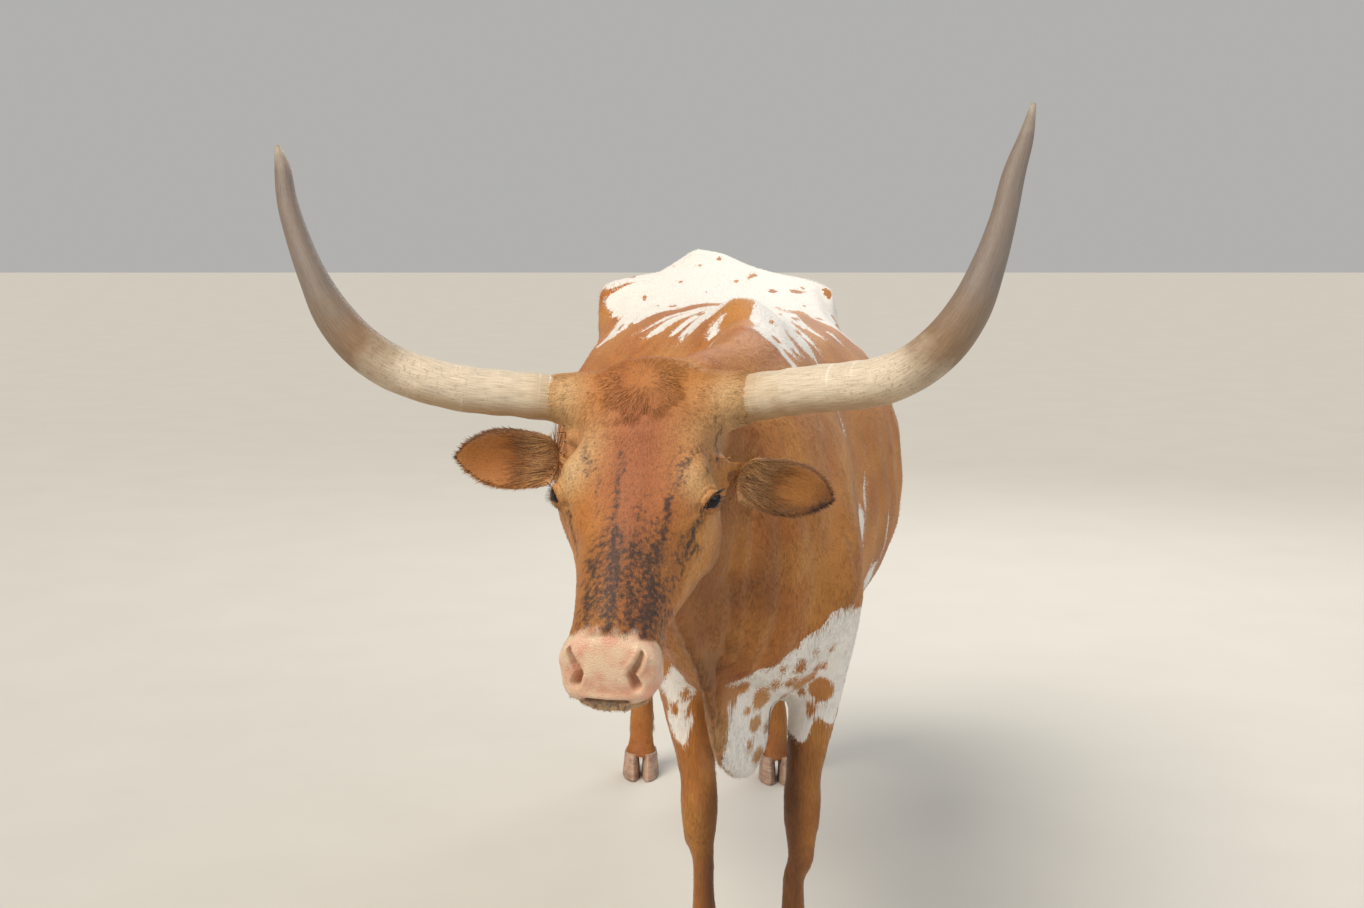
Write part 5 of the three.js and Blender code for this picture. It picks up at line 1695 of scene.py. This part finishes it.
@dataclass(frozen=True)
class LockShape:
    """The form of a kind of lock: a thin three-sided spike of hair, with its sizes in metres."""

    length: float
    width: float
    thick: float
    lift: float
    stretches: int = 1
    droop: float = 0.0
    scatter: float = 0.18
    vary: float = 0.35
    loose: bool = False


@dataclass
class Roots:
    """Where locks grow: their places, the skin's normals, the way they lie, and their place on the unwrap."""

    points: Rows
    normals: Rows
    ways: Rows
    patches: Rows
    scale: Rows


@dataclass
class Coat:
    """The coat in joined locks over the skin. Each is a closed spike that lies along the body."""

    patch: float = 0.003
    sink: float = 0.0012

    def grow(self, name: str, roots: Roots, shape: LockShape, seed: int, numbers: Numbers = None) -> Piece:
        """Makes one piece of the coat.

        Args:
            name: The piece's name.
            roots: Where its locks grow.
            shape: The form of each.
            seed: The seed of its draws.
            numbers: Gives the markings at the roots, where they aren't the hide's own.

        Returns:
            The piece.
        """
        draws = np.random.default_rng(seed)
        count = len(roots.points)
        across = unit(np.cross(roots.ways, roots.normals))
        length = shape.length * roots.scale * draws.uniform(1.0 - shape.vary, 1.0 + shape.vary, count)
        turn = draws.normal(0.0, shape.scatter, count)
        way = unit(roots.ways + across * np.tan(np.clip(turn, -0.9, 0.9))[:, None])
        across = unit(np.cross(way, roots.normals))
        lift = shape.lift * draws.uniform(0.3, 1.6, count)
        steps = np.arange(shape.stretches + 1) / shape.stretches
        middles = []
        for step in steps:
            forward = way * (length * step)[:, None]
            sunk = self.sink * (step == 0.0)
            rise = roots.normals * (length * lift * step * (1.0 - 0.45 * step) - sunk)[:, None]
            fall = np.array((0.0, 0.0, -1.0)) * (length * shape.droop * step ** 2)[:, None]
            middles.append(roots.points + forward + rise + fall)
        girth = roots.scale ** 0.5 * draws.uniform(0.75, 1.25, count)
        corners = []
        for index in range(shape.stretches):
            taper = 1.0 - 0.35 * steps[index]
            half = across * (0.5 * shape.width * taper * girth)[:, None]
            up = roots.normals * (shape.thick * taper * girth)[:, None]
            middle = middles[index]
            corners.extend([middle - half - up * 0.3, middle + half - up * 0.3, middle + up * 0.7])
        corners.append(middles[-1])
        rows = np.stack(corners, axis=1)
        mesh = self.join(name, rows, shape.stretches, roots.patches)
        given = numbers(roots.points, roots.normals) if numbers else hide_numbers(roots.points)
        each = rows.shape[1]
        tilts = np.concatenate([np.tile((-0.4, 0.4, 0.0), shape.stretches), [0.0]])
        facing = roots.normals[:, None, :] + across[:, None, :] * tilts[None, :, None]
        if not shape.loose:
            mesh.normals_split_custom_set_from_vertices(unit(facing).reshape(-1, 3))
        tone = draws.uniform(0.0, 1.0, count)
        along = np.concatenate([np.repeat(steps[:-1], 3), [1.0]])
        given["strand"] = np.stack([np.repeat(tone, each), np.tile(along, count)], axis=1)
        for key, values in given.items():
            write_numbers(mesh, key, values if key == "strand" else np.repeat(values, each, axis=0))
        return show(mesh, name)

    def join(self, name: str, rows: Rows, stretches: int, patches: Rows) -> Mesh:
        """Joins locks into one mesh.

        Args:
            name: The mesh's name.
            rows: For each lock, its corners from root to tip.
            stretches: How many stretches a lock has.
            patches: The place of each lock on the unwrap.

        Returns:
            The mesh, with its unwrap.
        """
        count, each = rows.shape[:2]
        faces = [(0, 1, 2)]
        for index in range(stretches):
            low = 3 * index
            for one, two in ((0, 1), (1, 2), (2, 0)):
                if index + 1 < stretches:
                    faces.append((low + one, low + 3 + one, low + 3 + two, low + two))
                else:
                    faces.append((low + one, low + 3, low + two))
        flat = np.concatenate(faces)
        sizes = np.array([len(face) for face in faces])
        corners = (flat[None, :] + each * np.arange(count)[:, None]).ravel()
        totals = np.tile(sizes, count)
        mesh = bpy.data.meshes.new(name)
        mesh.vertices.add(count * each)
        mesh.vertices.foreach_set("co", rows.ravel())
        mesh.loops.add(len(corners))
        mesh.loops.foreach_set("vertex_index", corners)
        mesh.polygons.add(len(totals))
        mesh.polygons.foreach_set("loop_start", np.concatenate([[0], np.cumsum(totals)[:-1]]))
        mesh.polygons.foreach_set("use_smooth", np.ones(len(totals), dtype=bool))
        mesh.update(calc_edges=True)
        own = np.array([(third / 2.0, index / stretches) for index in range(stretches) for third in range(3)])
        own = np.concatenate([own, [(0.5, 1.0)]]) * self.patch
        places = patches[:, None, :] + own[None, :, :]
        layer = mesh.uv_layers.new(name="OFBake")
        layer.data.foreach_set("uv", places.reshape(-1, 2)[corners].ravel())
        return mesh


def hide_numbers(points: Rows) -> dict[str, Rows]:
    """The hide's markings at places."""
    return {
        "marks": MARKINGS.marks(points), "tones": MARKINGS.tones(points), "lie": MARKINGS.streaked(points),
    }


@dataclass
class Scatter:
    """Spreads roots over a piece, each with its place on an unwrap of the piece."""

    piece: Piece
    lie: Callable[[Rows, Rows], Rows]

    def __post_init__(self) -> None:
        """Unwraps the piece and reads its triangles."""
        mesh = self.piece.data
        bpy.context.view_layer.objects.active = self.piece
        self.piece.select_set(True)
        mesh.uv_layers.new(name="shape")
        bpy.ops.object.mode_set(mode="EDIT")
        bpy.ops.mesh.select_all(action="SELECT")
        bpy.ops.uv.smart_project(angle_limit=math.radians(66.0), island_margin=0.002)
        bpy.ops.object.mode_set(mode="OBJECT")
        self.piece.select_set(False)
        mesh.calc_loop_triangles()
        triangles = mesh.loop_triangles
        self.corners = read_rows(triangles, "vertices", 3, np.int64)
        self.area = read_rows(triangles, "area", 1)[:, 0].copy()
        loops = read_rows(triangles, "loops", 3, np.int64)
        self.unwrap = read_rows(mesh.uv_layers["shape"].data, "uv", 2)[loops]
        mesh.uv_layers.remove(mesh.uv_layers["shape"])
        self.points = read_points(mesh)
        self.normals = read_normals(mesh)
        log.info("%s: %d triangles", self.piece.name, len(self.corners))

    def over(self, count: int, density: Rows, seed: int) -> Roots:
        """Draws roots over the piece.

        Args:
            count: How many.
            density: For each vertex of the piece, how thick they grow there.
            seed: The seed of the draws.

        Returns:
            The roots, with the way they lie.
        """
        draws = np.random.default_rng(seed)
        weight = self.area * density[self.corners].mean(axis=1)
        picked = np.sort(draws.choice(len(weight), size=count, p=weight / weight.sum()))
        shares = draws.dirichlet((1.0, 1.0, 1.0), count)[:, :, None]
        points = (self.points[self.corners[picked]] * shares).sum(axis=1)
        normals = unit((self.normals[self.corners[picked]] * shares).sum(axis=1))
        patches = (self.unwrap[picked] * shares).sum(axis=1)
        return Roots(points, normals, self.lie(points, normals), patches, np.ones(count))


def hide_lie(points: Rows, normals: Rows) -> Rows:
    """The way the hair lies at places: out from the whorl on the head, back and down elsewhere."""
    along, left, out = HEAD.local(points).T
    head, down, neck = MARKINGS.streaked(points).T
    axes = np.array([HEAD.along, HEAD.left, HEAD.out])
    away = np.stack([along - 0.026, left, np.zeros(len(points))], axis=1)
    radial = unit(away) + np.array((1.0, 0.0, 0.0)) * (1.6 * fade(along, 0.05, 0.20))[:, None]
    cheek = fade(-out, 0.06, 0.12)[:, None]
    face = unit(radial) * (1.0 - cheek) + np.array((0.45, 0.0, -0.9)) * cheek
    horn_side = (fade(np.abs(left), 0.080, 0.110) * fade(-along, -0.13, -0.08))[:, None] * (1.0 - cheek)
    aside = np.stack([np.full(len(left), 0.1), np.sign(left), np.zeros(len(left))], axis=1)
    face = face * (1.0 - horn_side) + aside * horn_side
    trunk = np.tile((0.0, 1.0, -0.22), (len(points), 1))
    way = trunk * (1.0 - neck - down)[:, None]
    way += neck[:, None] * np.array((0.0, 0.72, -0.70)) + down[:, None] * np.array((0.0, 0.12, -1.0))
    way = way * (1.0 - head)[:, None] + (face @ axes) * head[:, None]
    way -= (way * normals).sum(axis=1)[:, None] * normals
    return unit(way)


@dataclass
class Studio:
    """The floor, the light and the camera. The camera stands where the photograph was taken."""

    lens: float = 50.0
    film: float = 36.0
    height: float = 1.42
    distance: float = 3.44
    pitch_down: float = math.radians(7.9)
    floor_size: float = 60.0

    def build(self) -> None:
        """Makes the floor, the lights and the camera."""
        self.floor()
        self.lights()
        self.camera()

    def floor(self) -> None:
        """A plain pale floor with a matt finish."""
        bm = bmesh.new()
        bmesh.ops.create_grid(bm, x_segments=1, y_segments=1, size=self.floor_size / 2)
        floor = show(mesh_from(bm, "floor"), "floor")
        material, tree, shader = new_material("matt_pale_floor")
        coords = add(tree, "TexCoord").outputs["Object"]
        # Clouds 0.33 m wide.
        cloud = add(tree, "TexNoise", {"Vector": coords, "Scale": 3.0, "Detail": 4.0})
        plug(tree, shader, {"Base Color": layered(tree, "#C4C3BE", (cloud, "#CCCBC6")), "Roughness": 0.85})
        floor.data.materials.append(material)

    def lights(self) -> None:
        """A pale surround, a soft sun from the upper left, a fill from the right and a rim from behind."""
        scene = bpy.context.scene
        world = bpy.data.worlds.new("studio")
        world.use_nodes = True
        backdrop = world.node_tree.nodes["Background"]
        backdrop.inputs["Color"].default_value = linear("#EDECE9")
        backdrop.inputs["Strength"].default_value = 0.52
        scene.world = world
        scene.view_settings.view_transform = "Standard"
        target = HEAD.origin + Vector((0.0, -0.2, 0.9))
        for name, kind, place, size, power, tint in (
            ("key", "SUN", (-2.2, -2.6, 4.6), math.radians(34.0), 2.8, "#FFF3E2"),
            ("fill", "AREA", (3.4, -2.0, 3.0), 3.0, 35.0, "#F2F6FF"),
            ("rim", "AREA", (1.5, 4.2, 3.6), 2.4, 70.0, "#FFFDF8"),
        ):
            lamp = bpy.data.lights.new(name, kind)
            if kind == "SUN":
                lamp.angle = size
            else:
                lamp.size = size
            lamp.energy = power
            lamp.color = linear(tint)[:3]
            holder = bpy.data.objects.new(name, lamp)
            holder.location = HEAD.origin + Vector(place)
            holder.rotation_euler = (target - holder.location).to_track_quat("-Z", "Y").to_euler()
            scene.collection.objects.link(holder)

    def camera(self) -> None:
        """The camera at the photograph's angle."""
        camera = bpy.data.cameras.new("camera")
        camera.lens = self.lens
        camera.sensor_width = self.film
        holder = bpy.data.objects.new("camera", camera)
        holder.location = HEAD.origin + Vector((0.0, -self.distance, self.height))
        holder.rotation_euler = (math.pi / 2 - self.pitch_down, 0.0, 0.0)
        bpy.context.scene.collection.objects.link(holder)
        bpy.context.scene.camera = holder


@dataclass
class WholeCoat:
    """Puts the coat's pieces on the skin, zone by zone."""

    scatter: Scatter
    coat: Coat
    hide: Material
    stray: float = 1e-6

    def piece(self, name: str, roots: Roots, shape: LockShape, seed: int) -> None:
        """Grows one piece of the hide's coat and dresses it."""
        finish_piece(self.coat.grow(name, roots, shape, seed), self.hide, Slot.HIDE)

    @staticmethod
    def clear_of_ears(points: Rows) -> Rows:
        """0 in the creases round the ears' roots, where no lock would lie flat, and 1 away from them."""
        clear = np.ones(len(points))
        for sign in SIDES.values():
            root, tip, _ = Ear(sign).places
            seat = np.array(root + (tip - root).normalized() * 0.01)
            clear *= fade(np.linalg.norm(points - seat, axis=1), 0.040, 0.060)
        return clear

    def short(self) -> None:
        """The short hair of the whole body."""
        points = self.scatter.points
        place = HEAD.on_body(points)
        head, leg = MARKINGS.region(points).T
        furred = (1.0 - MARKINGS.marks(points)[:, 2]) ** 2
        gap = np.full(len(points), np.inf)
        for eye in EYES:
            side, rise, distance = eye.on_ball(points)
            gap = np.minimum(gap, np.where(distance > 0.05, np.inf, eye.outside(side, rise)))
        furred *= fade(gap, 0.0015, 0.0040) * self.clear_of_ears(points)
        fine = head * furred
        trunk = (1.0 - head) * (1.0 - leg) * furred
        front = fade(-place[:, 1], 0.25, 0.29)
        rear = fade(place[:, 1], 0.34, 0.38)
        trunk_lock = LockShape(0.017, 0.0017, 0.0006, 0.09)
        zones = (
            ("coat_head", fine, 48000, LockShape(0.0085, 0.0009, 0.0004, 0.14)),
            ("coat_neck", trunk * front, 46000, LockShape(0.016, 0.0016, 0.0006, 0.10)),
            ("coat_barrel", trunk * (1.0 - front) * (1.0 - rear), 48000, trunk_lock),
            ("coat_rump", trunk * rear, 48000, trunk_lock),
            ("coat_legs", leg * furred, 40000, LockShape(0.012, 0.0013, 0.0005, 0.11)),
        )
        for index, (name, density, count, shape) in enumerate(zones):
            self.piece(name, self.scatter.over(count, density, 100 + index), shape, 200 + index)

    def ears(self, ear: Ear, piece: Piece) -> None:
        """The fur of an ear, the long pale hair of its hollow and the fringe of its rim."""
        side = "left" if ear.sign > 0 else "right"
        grown = Scatter(piece, ear.lie)
        share, across = ear.spread(grown.points)
        inner = fade(grown.normals @ np.array(ear.places[2]), 0.0, 0.3)
        rim = fade(np.abs(across), 0.78, 0.95)
        hollow = inner * fade(-share, -0.55, -0.30) * fade(share, 0.20, 0.26)
        hollow *= fade(-np.abs(across), -0.85, -0.6)
        behind = fade(-(grown.normals @ np.array(ear.places[2])), 0.0, 0.3)
        back_rim = behind * fade(np.abs(across), 0.65, 0.85)
        fur = fade(share, 0.13, 0.20) * (1.0 - 0.95 * back_rim)
        fringe = rim * fade(share, 0.26, 0.36)
        seed = 500 + int(10 * ear.sign)
        for name, density, count, shape in (
            ("ear_fur", fur, 11000, LockShape(0.009, 0.0010, 0.0005, 0.08)),
            ("ear_fringe", fringe, 1000, LockShape(0.010, 0.0008, 0.0004, 0.14, 2, loose=True)),
            ("ear_long", hollow, 700, LockShape(0.038, 0.0010, 0.0005, 0.14, 3, 0.02, 0.16, loose=True)),
        ):
            roots = grown.over(count, density + self.stray, seed)
            locks = self.coat.grow(f"{name}_{side}", roots, shape, seed + 1, ear.numbers)
            finish_piece(locks, self.hide, Slot.HIDE)
            seed += 2

    def long(self) -> None:
        """The longer hair of the poll, the horns' roots, the chin, the heels, the coronets and the tail."""
        points = self.scatter.points
        x, y, z = HEAD.on_body(points).T
        head, leg = MARKINGS.region(points).T
        along, left, _ = HEAD.local(points).T
        poll = head * np.exp(-(left / 0.082) ** 2 - ((along - 0.055) / 0.082) ** 2)
        horn_root = head * fade(np.abs(left), 0.098, 0.116) * fade(-along, -0.12, -0.09)
        horn_root *= self.clear_of_ears(points)
        chin = head * fade(along, 0.400, 0.425) * fade(MOUTH.below(points), 0.002, 0.008)
        normals = self.scatter.normals
        heel = leg * np.exp(-((z - 0.11) / 0.032) ** 2) * fade(normals[:, 1], 0.1, 0.6)
        heel *= fade(normals[:, 2], -0.6, -0.25)
        coronet = leg * np.exp(-((z - 0.074) / 0.010) ** 2)
        tail = fade(y, 0.99, 1.03) * fade(z, 0.60, 0.64) * fade(-np.abs(x - 0.049), -0.06, -0.04)
        zones = (
            ("hair_poll", poll, 9000, LockShape(0.020, 0.0012, 0.0005, 0.09, 2, 0.02, 0.20)),
            ("hair_horn_roots", horn_root, 4200, LockShape(0.015, 0.0011, 0.0005, 0.08, 2, 0.0, 0.12)),
            ("hair_chin", chin, 900, LockShape(0.008, 0.0007, 0.0004, 0.16, 2, 0.0, 0.25, loose=True)),
            ("hair_heels", heel, 2600, LockShape(0.022, 0.0013, 0.0006, 0.14, 3, 0.1, 0.2, loose=True)),
            ("hair_coronets", coronet, 3600, LockShape(0.017, 0.0012, 0.0006, 0.06, 2, 0.0, 0.12)),
            ("hair_tail", tail, 7000, LockShape(0.030, 0.0014, 0.0006, 0.12, 2, 0.0, 0.12, loose=True)),
        )
        for index, (name, density, count, shape) in enumerate(zones):
            roots = self.scatter.over(count, density, 300 + index)
            if name == "hair_poll":
                along, left, _ = HEAD.local(roots.points).T
                roots.scale = 0.35 + 0.65 * np.exp(-(left / 0.060) ** 2 - ((along - 0.045) / 0.062) ** 2)
            self.piece(name, roots, shape, 400 + index)


@dataclass
class Switch:
    """The tail's switch of long hair, in place of the solid's wide locks."""

    count: int = 1500
    stretches: int = 6
    top: float = 0.668
    spread_down: float = 0.115
    place: tuple[float, float] = (0.045, 1.088)
    reach: float = 0.036
    length: float = 0.185
    half_width: float = 0.0011
    thick: float = 0.0010
    tapers: tuple[float, ...] = (0.75, 1.0, 0.95, 0.85, 0.7, 0.5)

    def build(self) -> Piece:
        """Makes the switch."""
        draws = np.random.default_rng(61)
        turn = draws.uniform(0.0, 2.0 * np.pi, self.count)
        drop = draws.uniform(0.0, 1.0, self.count) ** 0.8 * self.spread_down
        start = draws.uniform(0.2, 1.0, self.count) * 0.011
        length = self.length * draws.uniform(0.75, 1.1, self.count)
        bulge = self.reach * draws.uniform(0.2, 1.0, self.count) ** 0.7
        wave = draws.uniform(0.0, 2.0 * np.pi, self.count)
        out = np.stack([np.cos(turn), np.sin(turn), np.zeros(self.count)], axis=1)
        side = np.stack([-np.sin(turn), np.cos(turn), np.zeros(self.count)], axis=1)
        corners = []
        steps = np.arange(self.stretches + 1) / self.stretches
        middles = []
        for step in steps:
            away = start + bulge * math.sin(math.pi * min(0.12 + 0.68 * step, 1.0)) * (step > 0.0)
            sway = 0.004 * np.sin(wave + 5.0 * step) * step
            height = self.top - drop - length * step
            place = np.stack([
                self.place[0] + out[:, 0] * away + side[:, 0] * sway,
                self.place[1] + out[:, 1] * away + side[:, 1] * sway, height,
            ], axis=1)
            middles.append(place + np.array(HEAD.origin))
        for middle, taper in zip(middles, self.tapers):
            half, up = side * self.half_width * taper, out * self.thick * taper
            corners.extend([middle - half, middle + half, middle + up])
        corners.append(middles[-1])
        rows = np.stack(corners, axis=1)
        patches = np.stack([turn / 7.0, 0.1 + drop * 4.0], axis=1)
        mesh = Coat().join("switch_hair", rows, self.stretches, patches)
        each = rows.shape[1]
        along = np.concatenate([np.repeat(steps[:-1], 3), [1.0]])
        tone = draws.uniform(0.0, 1.0, self.count)
        write_numbers(mesh, "strand", np.stack([np.repeat(tone, each), np.tile(along, self.count)], axis=1))
        return show(mesh, "switch_hair")


@dataclass
class Lashes:
    """The lashes of both eyes: long over the upper lid, short under the lower."""

    upper_count: int = 46
    lower_count: int = 22
    upper_length: float = 0.017
    lower_length: float = 0.008
    half_width: float = 0.00032
    thick: float = 0.00028

    def build(self) -> Piece:
        """Makes the lashes."""
        draws = np.random.default_rng(71)
        rows = []
        for eye, (count, length, first, last, sign) in product(EYES, (
            (self.upper_count, self.upper_length, 0.25, 2.75, 1.0),
            (self.lower_count, self.lower_length, 3.6, 5.8, -1.0),
        )):
            turns = np.linspace(first, last, count) + draws.normal(0.0, 0.02, count)
            root = eye.rim(turns, eye.lid)
            out = unit(root - eye.centre)
            fan = (root - eye.centre) @ eye.inward
            spread = np.outer(fan / eye.radius, eye.inward) * 0.5
            way = unit(out * 0.9 + eye.upward * (0.15 * sign) - eye.gaze * 0.1 + spread)
            reach = length * draws.uniform(0.7, 1.15, count)[:, None]
            fall = np.array((0.0, 0.0, -0.30)) + eye.upward * (-0.25 * sign)
            middle = root + way * reach * 0.5
            tip = root + way * reach + fall * reach * 0.55
            side = unit(np.cross(way, out)) * self.half_width
            up = out * self.thick
            rows.append(np.stack([
                root - side, root + side, root + up,
                middle - side * 0.8, middle + side * 0.8, middle + up * 0.8, tip,
            ], axis=1))
        together = np.concatenate(rows)
        mesh = Coat().join("lashes", together, 2, np.zeros((len(together), 2)) + 0.5)
        strand = np.tile((0.3, 0.2), (together.shape[0] * together.shape[1], 1))
        write_numbers(mesh, "strand", strand)
        return show(mesh, "lashes")


def main() -> None:
    """Builds the animal and its studio."""
    logging.basicConfig(level=logging.INFO, format="%(message)s")
    hide = HideFinish().make()
    horn = HornFinish().make()
    hoof = HoofFinish().make()
    dark_hair = LongHairFinish("#1C1512", "#2A1E18", "lash_hair").make()
    switch_hair = LongHairFinish("#8A5A30", "#E2D4BE", "tail_hair_coarse").make()
    Studio().build()
    skin = Skin().build()
    finish_piece(skin, hide, Slot.HIDE, *FLESH_NODES)
    finish_piece(Horn(1.0).build(), horn, Slot.HORN, "horn_left")
    finish_piece(Horn(-1.0).build(), horn, Slot.HORN, "horn_right")
    ears = {side: (Ear(sign), Ear(sign).build()) for side, sign in SIDES.items()}
    for side, (ear, piece) in ears.items():
        finish_piece(piece, hide, Slot.HIDE, f"ear_{side}")
    eyes = EyeSet()
    finish_piece(eyes.balls(), EyeFinish().make(), Slot.EYE, "eye_left", "eye_right")
    finish_piece(eyes.rims(), LidFinish().make(), Slot.BARE_SKIN)
    finish_piece(Lashes().build(), dark_hair, Slot.HAIR)
    claws, names = Hooves().claws()
    finish_piece(claws, hoof, Slot.HOOF, *names)
    finish_piece(Hooves().dewclaws(read_points(skin.data)), hoof, Slot.HOOF)
    finish_piece(Switch().build(), switch_hair, Slot.HAIR, "tail_switch")
    coats = WholeCoat(Scatter(skin, hide_lie), Coat(), hide)
    coats.short()
    coats.long()
    for ear, piece in ears.values():
        coats.ears(ear, piece)


if __name__ == "__main__":
    main()
